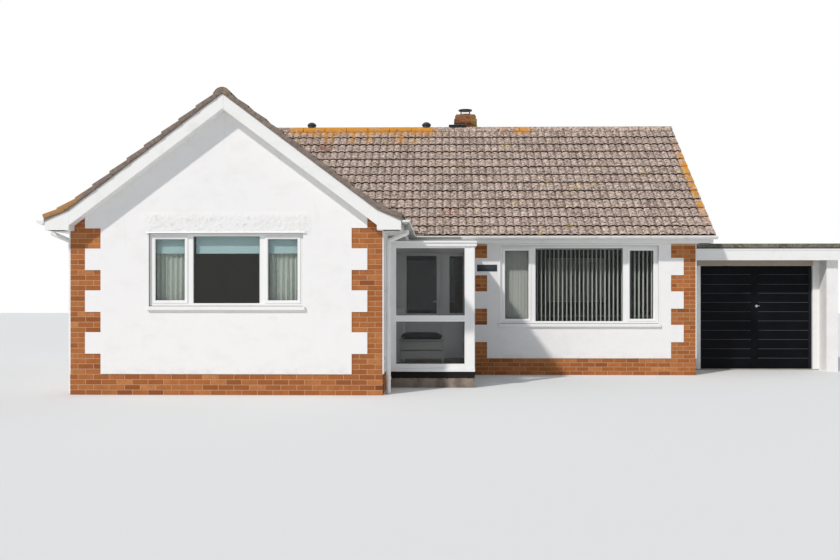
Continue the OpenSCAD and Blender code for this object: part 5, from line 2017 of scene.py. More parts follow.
@dataclass
class Porch:
    """The glazed porch: beads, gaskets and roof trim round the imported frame, and its bench."""

    left: float = 4.505
    right: float = 5.850
    front: float = -2.450
    depth: float = 0.070
    columns: tuple[float, float] = (4.633, 5.695)
    runs: tuple[tuple[float, float], tuple[float, float]] = ((-2.295, -1.040), (-0.900, -0.140))
    rows: tuple[tuple[float, float], tuple[float, float]] = ((0.217, 0.874), (0.967, 2.010))

    def _beads(self, white: Shape, dark: Shape) -> None:
        """Frame every pane with beads and gaskets, outside and inside."""
        for low, high in self.rows:
            left, right = self.columns
            for y in (self.front - 0.003, self.front + self.depth - 0.011):
                white.ring((left - 0.014, y, low - 0.014), (right + 0.014, y + 0.014,
                           high + 0.014), 0.017, 0.003)
            for y in (self.front + 0.016, self.front + self.depth - 0.022):
                dark.ring((left - 0.001, y, low - 0.001), (right + 0.001, y + 0.006,
                          high + 0.001), 0.008, 0.0)
            for near, far in self.runs:
                for x in (self.right - 0.011, self.right - self.depth - 0.003):
                    white.ring((x, near - 0.014, low - 0.014), (x + 0.014, far + 0.014,
                               high + 0.014), 0.017, 0.003, turn=90.0)
                for x in (self.right - 0.022, self.right - self.depth + 0.016):
                    dark.ring((x, near - 0.001, low - 0.001), (x + 0.006, far + 0.001,
                              high + 0.001), 0.008, 0.0, turn=90.0)

    def _trims(self, white: Shape) -> None:
        """Add the roof's white edge, the corner cover and the sill."""
        white.block((4.498, -2.500, 2.090), (5.888, -2.479, 2.1185), 0.003)
        white.block((5.879, -2.500, 2.090), (5.888, -0.020, 2.1185), 0.003)
        white.block((self.right - 0.062, self.front - 0.005, 0.150), (self.right + 0.005,
                    self.front + 0.002, 2.038), 0.002)
        white.block((self.right - 0.004, self.front - 0.005, 0.150), (self.right + 0.005,
                    self.front + 0.062, 2.038), 0.002)
        white.block((self.left - 0.004, self.front - 0.024, 0.098), (self.right + 0.004,
                    self.front + 0.010, 0.150), 0.005)

    def bench(self, wood: Material, stone: Material) -> None:
        """Build the bench of painted boards, and the step under the door.

        Args:
            wood: The bench's finish.
            stone: The step's finish.
        """
        shape = Shape()
        left, right, near, far, floor, seat = 4.683, 5.373, -2.360, -2.020, 0.100, 0.590
        for x in (left, right - 0.032):
            for y in (near, far - 0.032):
                shape.block((x, y, floor), (x + 0.032, y + 0.032, seat - 0.022), 0.003)
        planks = 4
        pitch = (far - near) / planks
        for at in range(planks):
            shape.block((left - 0.004, near + at * pitch + 0.002, seat - 0.022),
                        (right + 0.004, near + (at + 1) * pitch - 0.002, seat), 0.003)
        rails = ((0.430, 0.560), (0.290, 0.416), (0.150, 0.185))
        for y in (near + 0.006, far - 0.022):
            for low, high in rails:
                shape.block((left + 0.032, y, low), (right - 0.032, y + 0.016, high), 0.003)
        for x in (left + 0.008, right - 0.024):
            for low, high in rails:
                shape.block((x, near + 0.032, low), (x + 0.016, far - 0.032, high), 0.003)
        for at in range(planks):
            shape.block((left + 0.026, near + at * pitch + 0.004, 0.185),
                        (right - 0.026, near + (at + 1) * pitch - 0.004, 0.200), 0.003)
        # The bench's grey finish is painted shade on white boards.
        shape.finish("bench_boards", wood, Slot.BENCH, stands_for=("porch_bench",))
        step = Shape()
        step.block((4.507, -0.040, 0.102), (5.775, -0.006, 0.151), 0.004)
        step.finish("door_step", stone, Slot.CONCRETE)

    def cupboard(self, finishes: Finishes) -> None:
        """Stand the slim cupboard beside the front door."""
        shape = Shape()
        for low, high, bevel in (
                ((4.507, -0.330, 0.102), (4.690, -0.030, 1.040), 0.004),
                ((4.507, -0.345, 1.040), (4.712, -0.020, 1.064), 0.005),
                ((4.530, -0.336, 0.160), (4.670, -0.328, 0.990), 0.003)):
            shape.block(low, high, bevel)
        shape.finish("porch_cupboard", finishes.frame, Slot.FRAME)

    def build(self, finishes: Finishes) -> None:
        """Build the porch's pieces."""
        white, dark = Shape(), Shape()
        self._beads(white, dark)
        self._trims(white)
        white.finish("porch_beads_and_trims", finishes.frame, Slot.FRAME)
        dark.finish("porch_gaskets", finishes.gasket_and_shadow, Slot.FRAME)
        self.bench(finishes.bench, finishes.concrete)
        self.cupboard(finishes)


@dataclass
class Entrance:
    """The front door's beads, panel and handles, and the side light's beads."""

    leaf: tuple[float, float] = (4.600, 5.362)
    glass: tuple[float, float] = (4.705, 5.257)
    side: tuple[float, float] = (5.475, 5.740)
    rows: tuple[float, float] = (0.947, 1.997)
    front: float = 0.122
    back: float = 0.167

    def door(self, finishes: Finishes) -> None:
        """Bead the leaf's pane and raise its lower panel."""
        white, dark, metal = Shape(), Shape(), Shape()
        left, right = self.glass
        low, high = self.rows
        for near, far in ((self.front - 0.003, self.front + 0.012),
                          (self.back - 0.012, self.back + 0.003)):
            white.ring((left - 0.014, near, low - 0.014), (right + 0.014, far, high + 0.014),
                       0.018, 0.004)
            white.ring((left - 0.006, near, 0.290), (right + 0.006, far, 0.850), 0.020, 0.005)
            white.block((left + 0.040, near + 0.001, 0.340), (right - 0.040, far, 0.800), 0.010)
        dark.ring((left + 0.002, self.front + 0.004, low + 0.002),
                  (right - 0.002, self.front + 0.0105, high - 0.002), 0.007, 0.0)
        x, z = 5.3095, 1.170
        for face, out in ((self.front, -1.0), (self.back, 1.0)):
            metal.block((x - 0.0155, face, z - 0.112),
                        (x + 0.0155, face + out * 0.0095, z + 0.112), 0.004, segments=2)
            metal.rod((x, face, z), (x, face + out * 0.046, z), 0.0105, 20)
            metal.rod((x + 0.002, face + out * 0.0505, z), (x - 0.118, face + out * 0.0505, z),
                      0.0098, 20)
            metal.rod((x, face, z - 0.070), (x, face + out * 0.0125, z - 0.070), 0.008, 16)
        white.finish("front_door_beads", finishes.frame, Slot.FRAME, Body.FRONT_DOOR)
        dark.finish("front_door_gasket", finishes.gasket_and_shadow, Slot.FRAME, Body.FRONT_DOOR)
        metal.finish("front_door_handles", finishes.satin, Slot.FRAME, Body.FRONT_DOOR)

    def light(self, finishes: Finishes) -> None:
        """Bead the side light and seal the frame."""
        white, dark = Shape(), Shape()
        left, right = self.side
        low, high = self.rows
        white.ring((left - 0.005, 0.091, low - 0.005), (right + 0.005, 0.105, high + 0.005), 0.018, 0.005)
        white.ring((left - 0.004, 0.093, 0.270), (right + 0.004, 0.105, 0.860), 0.018, 0.005)
        dark.ring((left + 0.009, 0.102, low + 0.009), (right - 0.009, 0.110, high - 0.009), 0.008, 0.0)
        white.finish("side_light_beads", finishes.frame, Slot.FRAME)
        dark.finish("side_light_gasket", finishes.gasket_and_shadow, Slot.FRAME)

    def build(self, finishes: Finishes) -> None:
        """Build the entrance's pieces."""
        self.door(finishes)
        self.light(finishes)


@dataclass
class Garage:
    """The up and over door's ribbed face, the boards over it and the flat roof's edge."""

    face: float = 1.307
    columns: tuple[tuple[float, float], tuple[float, float]] = ((10.352, 11.285), (11.434, 12.388))
    ribs: tuple[float, ...] = (0.0725, 0.251, 0.430, 0.607, 0.788, 0.965, 1.144, 1.3205, 1.492, 1.680)
    low: float = -0.123
    high: float = 1.853

    def door(self, finishes: Finishes) -> None:
        """Press the ribs and boards into the leaf's face, and fit its handle."""
        shape, metal = Shape(), Shape()
        for left, right in self.columns:
            levels = [self.low + 0.012, *self.ribs, self.high - 0.050]
            for low, high in zip(levels, levels[1:]):
                shape.block((left, self.face - 0.003, low + 0.008), (right, self.face + 0.004,
                            high - 0.008), 0.0025)
            for z in self.ribs:
                shape.block((left - 0.004, self.face - 0.0065, z - 0.005),
                            (right + 0.004, self.face + 0.004, z + 0.005), 0.0025)
        # The ribs are marked for the steel's lighter colour, part dust and part painted highlight.
        ribs = [face for face in shape.mesh.faces
                if min(abs(face.calc_center_median().z - z) for z in self.ribs) < 0.0058]
        shape.mark(ribs, 0.5, 0.9)
        count = len(shape.mesh.faces)
        for left, right, proud, end, bevel in ((12.386, 12.391, 0.006, 0.055, 0.001),
                                               (12.404, 12.444, 0.004, 0.004, 0.002),
                                               (10.328, 10.346, 0.004, 0.004, 0.002)):
            foot = self.low + (0.02 if end > 0.01 else end)
            shape.block((left, self.face - proud, foot), (right, self.face + 0.004,
                        self.high - end), bevel)
        shape.mesh.faces.ensure_lookup_table()
        # The edge strips take a little of that lighter colour.
        shape.mark(shape.mesh.faces[count:], 0.5, 0.22)
        shape.finish("garage_door_boards", finishes.steel, Slot.STEEL, Body.GARAGE_DOOR)
        x, z = 11.400, 1.074
        metal.rod((x, self.face, z), (x, self.face - 0.0055, z), 0.024, 24)
        metal.rod((x, self.face - 0.004, z), (x, self.face - 0.030, z), 0.008, 16)
        metal.rod((x - 0.045, self.face - 0.033, z + 0.004), (x + 0.045, self.face - 0.033,
                  z + 0.004), 0.0075, 16)
        metal.finish("garage_door_handle", finishes.chrome, Slot.STEEL, Body.GARAGE_DOOR)

    def boards(self, finishes: Finishes) -> None:
        """Add the head board, the fascia's lip and the felt's drip."""
        head, white, felt = Shape(), Shape(), Shape()
        # The head board's brown-grey finish is painted shade.
        head.block((10.255, 1.248, 1.848), (12.455, 1.263, 2.092), 0.003)
        head.finish("garage_head_board", finishes.head, Slot.BOARD)
        white.block((9.907, 0.752, 2.118), (12.787, 0.762, 2.152), 0.003)
        white.block((11.395, 0.756, 1.938), (11.413, 0.761, 2.120), 0.001)
        white.finish("garage_fascia_lip", finishes.board, Slot.BOARD)
        top = 2.248
        line = ((0.744, 2.160), (0.752, 2.154), (0.760, 2.162), (0.784, 2.190),
                (0.860, top - 0.006), (0.860, top), (0.780, top), (0.756, top - 0.012),
                (0.745, top - 0.030))
        felt.prism([(9.905, y, z) for y, z in line], (2.884, 0.0, 0.0))
        felt.finish("felt_drip", finishes.felt, Slot.FELT)

    def build(self, finishes: Finishes) -> None:
        """Build the garage's pieces."""
        self.door(finishes)
        self.boards(finishes)


@dataclass
class RainGoods:
    """Brackets, unions and rims on the gutters, collars and clips on the downpipes."""

    radius: float = 0.056
    out: float = 0.341
    wing_rim: float = 2.336
    main_rim: float = 2.321
    pipe: float = 0.034
    gap: float = 0.074

    def _strap(self, shape: Shape, centre: Vector, out: Vector, length: float, thick: float) -> None:
        """Wrap a strap round the underside of a gutter.

        Args:
            shape: The mesh that it goes into.
            centre: The middle of the gutter's rim line at the strap's start.
            out: The level way from the wall to the gutter.
            length: The strap's width, measured along the gutter.
            thick: How far it stands out from the gutter.
        """
        along = Vector((0.0, 0.0, 1.0)).cross(out)
        outer, inner = [], []
        for turn in range(0, 181, 15):
            angle = math.radians(turn)
            way = out * math.cos(angle) - Vector((0.0, 0.0, math.sin(angle)))
            outer.append(centre + way * (self.radius + thick * math.sin(angle)))
            inner.append(centre + way * (self.radius - 0.001))
        shape.prism(outer + inner[::-1], along * length)

    def _run(self, shape: Shape, start: Vector, end: Vector, out: Vector,
             unions: Sequence[float]) -> None:
        """Fit one gutter with rims, brackets and unions.

        Args:
            shape: The mesh that they go into.
            start: The middle of the rim line at one end.
            end: The middle of the rim line at the other end.
            out: The level way from the wall to the gutter.
            unions: Distances from the start.
        """
        way = (end - start).normalized()
        along = Vector((0.0, 0.0, 1.0)).cross(out)
        length = (end - start).length
        for side in (1.0, -1.0):
            offset = out * (self.radius - 0.0042) * side
            shape.rod(start + offset, end + offset, 0.0042, 10)
        count = max(round(length / 0.9), 1)
        for at in range(count + 1):
            place = start + way * (0.12 + (length - 0.24) * at / count)
            self._strap(shape, place - along * 0.011, out, 0.022, 0.0035)
        for distance in unions:
            place = start + way * distance
            self._strap(shape, place - along * 0.045, out, 0.090, 0.006)
        for place, thick in ((start, 0.004), (end, -0.004)):
            disc = []
            for turn in range(0, 181, 12):
                angle = math.radians(turn)
                disc.append(place + (out * math.cos(angle) - Vector((0.0, 0.0, math.sin(angle))))
                            * (self.radius + 0.0005 * math.sin(angle)))
            shape.prism(disc, way * thick)

    def gutters(self, finishes: Finishes) -> None:
        """Fit all four gutters."""
        shape = Shape()
        right, rear = Vector((1.0, 0.0, 0.0)), Vector((0.0, 1.0, 0.0))
        for x, out, unions in ((-self.out, -right, (2.0,)), (PLAN.wing_width + self.out, right, (1.9,))):
            self._run(shape, Vector((x, -3.838, self.wing_rim)),
                      Vector((x, -0.400, self.wing_rim)), out, unions)
        for x, y, out, unions in ((4.770, -self.out, -rear, (0.930, 3.4)),
                                  (-0.293, PLAN.main_depth + self.out, rear, (2.6, 5.2, 7.8))):
            self._run(shape, Vector((x, y, self.main_rim)),
                      Vector((10.183, y, self.main_rim)), out, unions)
        shape.finish("gutter_fittings", finishes.gutter, Slot.FRAME)

    def pipes(self, finishes: Finishes) -> None:
        """Fit collars and wall clips on the downpipes."""
        shape = Shape()
        depth = PLAN.main_depth
        places = (
            (Vector((-self.gap, -3.385, 0.0)), Vector((1.0, 0.0, 0.0)), self.wing_rim),
            (Vector((PLAN.wing_width + self.gap, -3.385, 0.0)), Vector((-1.0, 0.0, 0.0)),
             self.wing_rim),
            (Vector((0.215, depth + self.gap, 0.0)), Vector((0.0, -1.0, 0.0)), self.main_rim),
            (Vector((9.675, depth + self.gap, 0.0)), Vector((0.0, -1.0, 0.0)), self.main_rim),
        )
        up = Vector((0.0, 0.0, 1.0))
        for foot, to_wall, rim in places:
            for z in (0.055, 1.060, rim - self.radius - 0.300):
                shape.rod(foot + up * z, foot + up * (z + 0.045), self.pipe + 0.005, 24)
            for z in (0.340, 1.330):
                shape.rod(foot + up * z, foot + up * (z + 0.022), self.pipe + 0.004, 24)
                across = up.cross(to_wall)
                reach = to_wall * (self.gap - 0.016)
                shape.block(foot + across * -0.016 + up * z,
                            foot + across * 0.016 + up * (z + 0.022) + reach, 0.003)
                back = foot + reach
                shape.block(back - to_wall * 0.006 + across * -0.042 + up * (z - 0.014),
                            back + across * 0.042 + up * (z + 0.036), 0.003)
        shape.finish("downpipe_fittings", finishes.gutter, Slot.FRAME)

    def build(self, finishes: Finishes) -> None:
        """Build all the fittings."""
        self.gutters(finishes)
        self.pipes(finishes)


@dataclass
class StackTop:
    """The chimney's body, its flaunching and the lead where it meets the ridge."""

    left: float = 5.622
    right: float = 6.092
    near: float = 3.057
    far: float = 3.527

    def build(self, finishes: Finishes) -> None:
        """Build the stack's pieces."""
        core, mortar, lead, dark = Shape(), Shape(), Shape(), Shape()
        middle = Vector(((self.left + self.right) / 2.0, (self.near + self.far) / 2.0, 0.0))
        core.block((self.left + 0.006, self.near + 0.006, 0.150),
                   (self.right - 0.006, self.far - 0.006, 5.020), 0.004)
        core.block((self.left + 0.026, self.near + 0.026, 5.015),
                   (self.right - 0.026, self.far - 0.026, 5.094), 0.010)
        core.finish("chimney_core", finishes.mortar, Slot.BRICK, stands_for=("chimney",))
        mortar.block((self.left + 0.034, self.near + 0.034, 5.080),
                     (self.right - 0.034, self.far - 0.034, 5.121), 0.016, segments=2)
        mortar.rod(middle + Vector((0.0, 0.0, 5.094)), middle + Vector((0.0, 0.0, 5.131)), 0.155,
                   32, end_radius=0.136)
        mortar.finish("chimney_flaunching", finishes.stack, Slot.BRICK)
        # Painted shadow: a dark disc fills the flue's mouth, and a dark block stands in the shadow gap under
        # the lead at the ridge.
        dark.rod(middle + Vector((0.0, 0.0, 5.10)), middle + Vector((0.0, 0.0, 5.1322)), 0.1165, 32)
        dark.block((5.510, 2.835, 4.780), (5.855, 3.050, 4.847), 0.003)
        dark.finish("chimney_painted_shadow_gaps", finishes.gasket_and_shadow, Slot.BRICK)
        collars = Shape()
        for x in (2.617, 5.032):
            collars.rod((x, 2.920, 4.780), (x, 2.920, 4.851), 0.088, 32, end_radius=0.080)
        collars.finish("ridge_vent_collars", finishes.cowl, Slot.COWL)
        lead.block((5.500, 2.815, 4.846), (5.865, 3.056, 4.852), 0.002)
        lead.block((self.left - 0.008, self.near - 0.010, 4.720), (self.right + 0.008,
                   self.near - 0.002, 4.842), 0.003)
        lead.block((self.left - 0.110, self.far + 0.002, 4.160), (self.right + 0.110,
                   self.far + 0.010, 4.520), 0.003)
        for x in (self.left - 0.010, self.right + 0.004):
            outline = [(x, self.near - 0.010, 4.700), (x, self.near - 0.010, 4.872)]
            for step in range(6):
                y = self.near + 0.085 * step
                top = 4.872 - 0.064 * (step + 1)
                outline += [(x, y, top + 0.064), (x, y, top)]
            outline += [(x, self.far + 0.010, 4.490), (x, self.far + 0.010, 4.260)]
            lead.prism(outline, (0.006, 0.0, 0.0))
        lead.finish("chimney_lead", finishes.lead, Slot.BRICK)


@dataclass
class Trims:
    """White boards that close the verges, covers on their joints, the head trim and a plate."""

    barge_depth: float = 0.210
    board: float = 0.012

    def _soffit(self, shape: Shape, low_run: float, mid: float, height: Callable[[float], float],
                place: Callable[[float, float], Point], sweep: Point) -> None:
        """Close the underside of one verge from foot to ridge and down again.

        Args:
            shape: The mesh that the board goes into.
            low_run: Where the board starts, measured up the slope in plan.
            mid: The ridge's run.
            height: Gives the board's lower face over a run.
            place: Turns a run and a height into a point.
            sweep: The board's width.
        """
        outline = [place(low_run, height(low_run)), place(mid, height(mid)),
                   place(2.0 * mid - low_run, height(low_run)),
                   place(2.0 * mid - low_run, height(low_run) + self.board),
                   place(mid, height(mid) + self.board),
                   place(low_run, height(low_run) + self.board)]
        shape.prism(outline, sweep)

    def verges(self, material: Material) -> None:
        """Board the undersides of the verges and the inner sides of the boxed feet."""
        shape = Shape()
        wing, depth = PLAN.wing_width, PLAN.main_depth

        def wing_low(run: float) -> float:
            """Return the lower face of the wing's verge soffit."""
            return 2.478 + PLAN.slope * (run - PLAN.kink) - self.barge_depth + 0.010

        def main_low(run: float) -> float:
            """Return the lower face of a main verge's soffit."""
            return PLAN.main_top(run) - 0.0611 - self.barge_depth + 0.010

        self._soffit(shape, 0.065, wing / 2.0, wing_low, lambda run, z: (run, -3.818, z),
                     (0.0, 0.204, 0.0))
        for x in (-0.218, 9.904):
            self._soffit(shape, 0.065, depth / 2.0, main_low, lambda run, z, at=x: (at, run, z),
                         (0.204, 0.0, 0.0))
        base = PLAN.soffit
        for low, high in ((0.043, 0.065), (wing - 0.065, wing - 0.043)):
            shape.block((low, -3.819, base), (high, -3.614, 2.345), 0.002)
        for low, high in ((-0.254, 0.045), (wing - 0.045, wing + 0.254)):
            shape.block((low, -3.819, base), (high, -3.598, base + self.board), 0.002)
        for x, far_x in ((-0.219, -0.014), (9.904, 10.109)):
            for low, high in ((0.043, 0.065), (depth - 0.065, depth - 0.043)):
                shape.block((x, low, base), (far_x, high, 2.400), 0.002)
            for low, high in ((-0.254, 0.045), (depth - 0.045, depth + 0.254)):
                shape.block((x, low, base), (far_x, high, base + self.board), 0.002)
        shape.finish("verge_soffits", material, Slot.BOARD)

    def covers(self, material: Material) -> None:
        """Cover the bargeboards' joints and cap their feet."""
        shape = Shape()
        wing, depth = PLAN.wing_width, PLAN.main_depth
        shape.block((2.228, -3.8425, 3.906), (2.262, -3.838, 4.112), 0.001)
        for x in (0.052, wing - 0.052):
            shape.block((x - 0.010, -3.8418, 2.202), (x + 0.010, -3.838, 2.462), 0.001)
        for x, far_x in ((-0.2425, -0.238), (10.128, 10.1325)):
            shape.block((x, depth / 2.0 - 0.017, 4.514), (far_x, depth / 2.0 + 0.017, 4.722), 0.001)
            for y in (0.052, depth - 0.052):
                shape.block((x, y - 0.010, 2.202), (far_x, y + 0.010, 2.555), 0.001)
        shape.finish("bargeboard_covers", material, Slot.BOARD)

    def head(self, finishes: Finishes) -> None:
        """Set the drip trim over the wing's window and the trim beside the main window."""
        shape = Shape()
        line = ((-3.600, 2.196), (-3.640, 2.186), (-3.646, 2.172), (-3.640, 2.166),
                (-3.632, 2.172), (-3.600, 2.176))
        shape.prism([(1.100, y, z) for y, z in line], (2.290, 0.0, 0.0))
        shape.block((9.229, -0.021, 0.770), (9.252, 0.034, 2.172), 0.003)
        shape.block((6.378, -0.019, 0.770), (6.401, 0.034, 2.172), 0.003)
        shape.finish("window_trims", finishes.frame, Slot.FRAME)
        plate = Shape()
        plate.block((5.980, -0.024, 1.710), (6.340, -0.015, 1.830), 0.004, segments=2)
        plate.ring((5.990, -0.0258, 1.720), (6.330, -0.0225, 1.820), 0.004, 0.001)
        plate.finish("bare_wall_plate", finishes.plate, Slot.FRAME)

    def build(self, finishes: Finishes) -> None:
        """Build the trims."""
        self.verges(finishes.board)
        self.covers(finishes.board)
        self.head(finishes)


class Recipe(Protocol):
    """Anything that can make a material."""

    def make(self) -> Material:
        """Wire the material and return it."""


def made(recipe: Recipe) -> Material:
    """Return a field that makes its material once the finishes are made."""
    return field(default_factory=recipe.make)


@dataclass
class Finishes:
    """Every material, made once."""

    tile: Material = made(TileFinish())
    brick: Material = made(BrickFinish())
    mortar: Material = made(MortarFinish())
    wall: Material = made(WallFinish())
    render: Material = made(RenderFinish())
    board: Material = made(PaintedFinish("white_roof_board"))
    frame: Material = made(PaintedFinish("white_window_profile", "#f1f1f0", "#d0cec8", 0.15, 0.28))
    gutter: Material = made(GutterFinish())
    # Dark rubber for the gaskets; the chimney's painted shadow gaps use it too.
    gasket_and_shadow: Material = made(RoughFinish("dark_gasket_and_painted_shadow", "#25282a", "#15181a", 200.0, 0.0003, 0.6))
    deck: Material = made(RoughFinish("roof_underlay", "#4a423b", "#2f2a26"))
    bed: Material = made(RoughFinish("verge_mortar", "#8f867f", "#675e57", 90.0, 0.004))
    lead: Material = made(RoughFinish("weathered_lead", "#8b8d8c", "#5f6261", 40.0, 0.001, 0.55))
    concrete: Material = made(RoughFinish("bare_concrete", "#a5a196", "#7d786d"))
    base: Material = made(BaseFinish())
    felt: Material = made(FeltFinish())
    plaster: Material = made(RoughFinish("ceiling_plaster", "#bfbcb5", "#adaaa2", 60.0, 0.0008))
    garage_wall: Material = made(RoughFinish("painted_blockwork", "#f1f0ee", "#e2dfdb", 30.0, 0.004))
    # Its last colour is the painted reflection on the wing window.
    glass: Material = made(GlassFinish("window_pane", "#10181a", 0.15, "#5a5b56"))
    porch_pane: Material = made(GlassFinish("porch_pane", "#1c2426", 0.18))
    door_glass: Material = made(GlassFinish("dark_door_pane", "#0d1315", 0.72))
    cowl: Material = made(MetalFinish("black_cowl", "#141414", "#3a3733", 0.0, 0.55))
    steel: Material = made(SteelFinish())
    chrome: Material = made(MetalFinish("bright_metal", "#c9cbcc", "#9fa2a4", 1.0, 0.22))
    satin: Material = made(MetalFinish("satin_handle", "#e6e6e4", "#c9c9c6", 0.0, 0.3))
    plate: Material = made(MetalFinish("navy_plate", "#1b2330", "#27313f", 0.0, 0.4))
    # The white bench is painted grey as the shade it stands in within the porch.
    bench: Material = made(PaintedFinish("white_bench_painted_shade", "#959690", "#7c7d77", 0.4, 0.5))
    # The white head board is painted brown-grey as its shade with warm light from the paving.
    head: Material = made(PaintedFinish("head_board_painted_shade", "#b5a696", "#8d7f70", 0.5, 0.6))
    seal: Material = made(RoughFinish("grey_sealant", "#a19e97", "#7c7972", 60.0, 0.001, 0.7))
    stack: Material = made(StackFinish())
    roller: Material = made(ClothFinish("roller_cloth", "#cdeeee", "#a9d0d5"))
    roller_bar: Material = made(PaintedFinish("blind_fittings", "#dfe3de", "#b9bdb6", 0.2, 0.4))
    curtain: Material = made(ClothFinish("heather_curtain_cloth", "#dbe5da", "#a5b5ab", 1500.0, 0.6))
    slat: Material = made(ClothFinish("pale_slat_cloth", "#f4f8f1", "#dfe8dc", 2200.0, 0.3))
    cushion: Material = made(ClothFinish("dark_cushion_cloth", "#1f2a29", "#111817", 1300.0, 0.5))

    def dress(self) -> None:
        """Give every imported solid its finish."""
        rows: dict[Material, tuple[str, ...]] = {
            self.wall: ("wing_front_wall", "wing_left_wall", "wing_right_wall",
                        "main_left_wall", "main_right_wall", "rear_wall", "front_wall",
                        "doorway_lintel"),
            self.render: ("front_render", "side_render", "rear_render"),
            self.board: ("bargeboards", "fascias", "soffits", "porch_roof", "garage_fascia",
                         "garage_frame"),
            self.frame: ("wing_window", "main_window", "rear_windows", "window_sills",
                         "door_frame", "front_door", "porch_frame"),
            self.gutter: ("gutters", "downpipes"),
            self.tile: ("main_roof", "wing_roof", "ridge_tiles"),
            self.concrete: ("floor_slab", "garage_floor"),
            self.base: ("porch_base",),
            self.plaster: ("ceiling",),
            self.garage_wall: ("garage_walls", "garage_party_wall"),
            self.glass: ("window_glass",),
            self.porch_pane: ("porch_glass",),
            self.door_glass: ("door_glass",),
            self.cowl: ("roof_vents",),
            self.felt: ("garage_roof",),
            self.steel: ("garage_door",),
        }
        for material, names in rows.items():
            for name in names:
                solid = bpy.data.objects[name]
                solid.data.materials.clear()
                solid.data.materials.append(material)
        LOG.info("finishes laid on %d solids", sum(len(names) for names in rows.values()))


@dataclass
class Studio:
    """The camera, the lamps and the pale floor."""

    camera_at: Point = (-0.893, -18.540, 1.424)
    camera_turn: float = 0.0201
    lens: float = 41.31
    shift: float = 0.0186
    sun_way: Point = (-0.477, -0.597, 0.644)
    sun: float = 2.35
    sun_width: float = 2.6
    sky: float = 0.47
    fill: float = 0.3

    def camera(self) -> None:
        """Stand the camera where the photograph was taken."""
        data = bpy.data.cameras.new("camera")
        data.lens = self.lens
        data.sensor_width = 36.0
        data.shift_y = self.shift
        data.clip_end = 200.0
        made = bpy.data.objects.new("camera", data)
        made.location = self.camera_at
        made.rotation_euler = (math.radians(90.0), 0.0, self.camera_turn)
        bpy.context.scene.collection.objects.link(made)
        bpy.context.scene.camera = made

    def _lamp(self, name: str, way: Point, energy: float, angle: float, tint: str) -> None:
        """Hang a sun lamp that shines from a direction."""
        data = bpy.data.lights.new(name, "SUN")
        data.energy = energy
        data.angle = math.radians(angle)
        data.color = linear(tint)[:3]
        made = bpy.data.objects.new(name, data)
        made.rotation_euler = Vector(way).to_track_quat("Z", "Y").to_euler()
        bpy.context.scene.collection.objects.link(made)

    def lamps(self) -> None:
        """Hang the key and fill lamps and light the world."""
        self._lamp("key", self.sun_way, self.sun, self.sun_width, "#fffaf6")
        self._lamp("fill", (0.6, 0.5, 0.5), self.fill, 40.0, "#f4f8ff")
        world = bpy.data.worlds.new("studio")
        world.use_nodes = True
        nodes, links = world.node_tree.nodes, world.node_tree.links
        soft = nodes["Background"]
        soft.inputs["Color"].default_value = (0.84, 0.91, 1.0, 1.0)
        soft.inputs["Strength"].default_value = self.sky
        seen = nodes.new("ShaderNodeBackground")
        seen.inputs["Color"].default_value = (1.0, 1.0, 1.0, 1.0)
        path = nodes.new("ShaderNodeLightPath")
        bright = path.outputs["Is Camera Ray"]
        for ray in ("Is Transmission Ray", "Is Glossy Ray"):
            either = nodes.new("ShaderNodeMath")
            either.operation = "MAXIMUM"
            links.new(bright, either.inputs[0])
            links.new(path.outputs[ray], either.inputs[1])
            bright = either.outputs["Value"]
        blend = nodes.new("ShaderNodeMixShader")
        links.new(bright, blend.inputs["Fac"])
        links.new(soft.outputs["Background"], blend.inputs[1])
        links.new(seen.outputs["Background"], blend.inputs[2])
        links.new(blend.outputs["Shader"], nodes["World Output"].inputs["Surface"])
        bpy.context.scene.world = world

    def floor(self) -> None:
        """Lay the pale floor under the walls' level base."""
        shape = bmesh.new()
        bmesh.ops.create_grid(shape, x_segments=1, y_segments=1, size=60.0)
        data = bpy.data.meshes.new("floor")
        shape.to_mesh(data)
        shape.free()
        material = bpy.data.materials.new("pale_floor")
        material.use_nodes = True
        shader = material.node_tree.nodes["Principled BSDF"]
        shader.inputs["Base Color"].default_value = (0.80, 0.80, 0.79, 1.0)
        shader.inputs["Roughness"].default_value = 0.9
        shader.inputs["Specular IOR Level"].default_value = 0.1
        data.materials.append(material)
        made = bpy.data.objects.new("floor", data)
        bpy.context.scene.collection.objects.link(made)

    def build(self) -> None:
        """Set up the whole studio."""
        bpy.context.scene.view_settings.view_transform = "Standard"
        self.camera()
        self.lamps()
        self.floor()


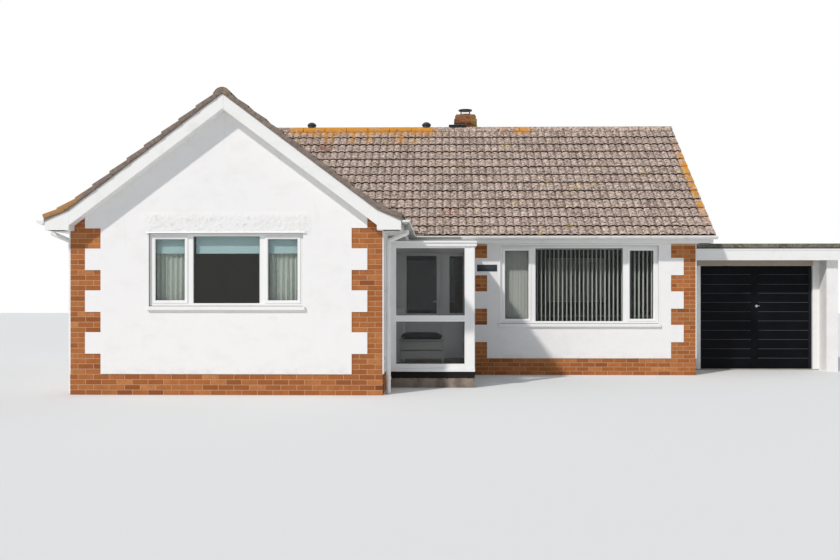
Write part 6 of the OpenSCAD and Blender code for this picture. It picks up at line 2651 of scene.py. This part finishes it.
def keep_sizes() -> None:
    """Update the view layer."""
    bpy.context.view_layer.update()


def main() -> None:
    """Dress the house, piece by piece."""
    logging.basicConfig(level=logging.INFO, format="%(name)s: %(message)s")
    Studio().build()
    finishes = Finishes()
    finishes.dress()
    Roofs().build(finishes)
    Brickwork().build(finishes)
    fixed, sash = Opening.FIXED, Opening.SASH
    Window("wing_window_profiles", 1.135, 2.220, 1.120, 2.170, -3.570,
           ((1.180, 1.684, sash), (1.769, 2.721, fixed), (2.806, 3.310, sash)),
           "wing_window").build(finishes)
    Window("main_window_profiles", 6.400, 2.830, 0.770, 2.170, 0.030,
           ((6.445, 6.949, sash), (7.034, 8.596, fixed), (8.681, 9.185, sash)),
           "main_window").build(finishes)
    rear = PLAN.main_depth - 0.030
    Window("rear_window_profiles_left", 1.565, 1.360, 1.120, 2.170, rear,
           ((1.610, 2.2025, sash), (2.2875, 2.880, sash)), "rear_windows", 1.0).build(finishes)
    Window("rear_window_profiles_middle", 4.9575, 2.220, 1.120, 2.170, rear,
           ((5.0025, 5.5065, sash), (5.5915, 6.5435, fixed), (6.6285, 7.1325, sash)),
           "rear_windows", 1.0, stands_in=False).build(finishes)
    Window("rear_window_profiles_right", 7.870, 1.360, 1.120, 2.170, rear,
           ((7.915, 8.5075, sash), (8.5925, 9.185, sash)), "rear_windows", 1.0,
           stands_in=False).build(finishes)
    RollerBlinds().build(finishes)
    Curtain("curtain_left", 1.166, 1.653, 0.4).build(finishes)
    Curtain("curtain_right", 2.837, 3.324, 2.1).build(finishes)
    SlatBlind("main_blind_stack", 6.470, 6.905, 0.800, 2.140, 0.165, 128.0, 0.0265,
              loose=7.0).build(finishes)
    SlatBlind("main_blind_slats", 6.960, 9.180, 0.800, 2.140, 0.165, 95.5, chained=True).build(finishes)
    for name, left, right in (("rear_blind_left", 1.620, 2.870),
                              ("rear_blind_middle", 5.010, 7.125),
                              ("rear_blind_right", 7.925, 9.175)):
        SlatBlind(name, left, right, 1.150, 2.140, 5.690, 164.0, 0.076).build(finishes)
    BenchCushion().build(finishes)
    Porch().build(finishes)
    Entrance().build(finishes)
    Garage().build(finishes)
    RainGoods().build(finishes)
    StackTop().build(finishes)
    Trims().build(finishes)
    keep_sizes()


if __name__ == "__main__":
    main()
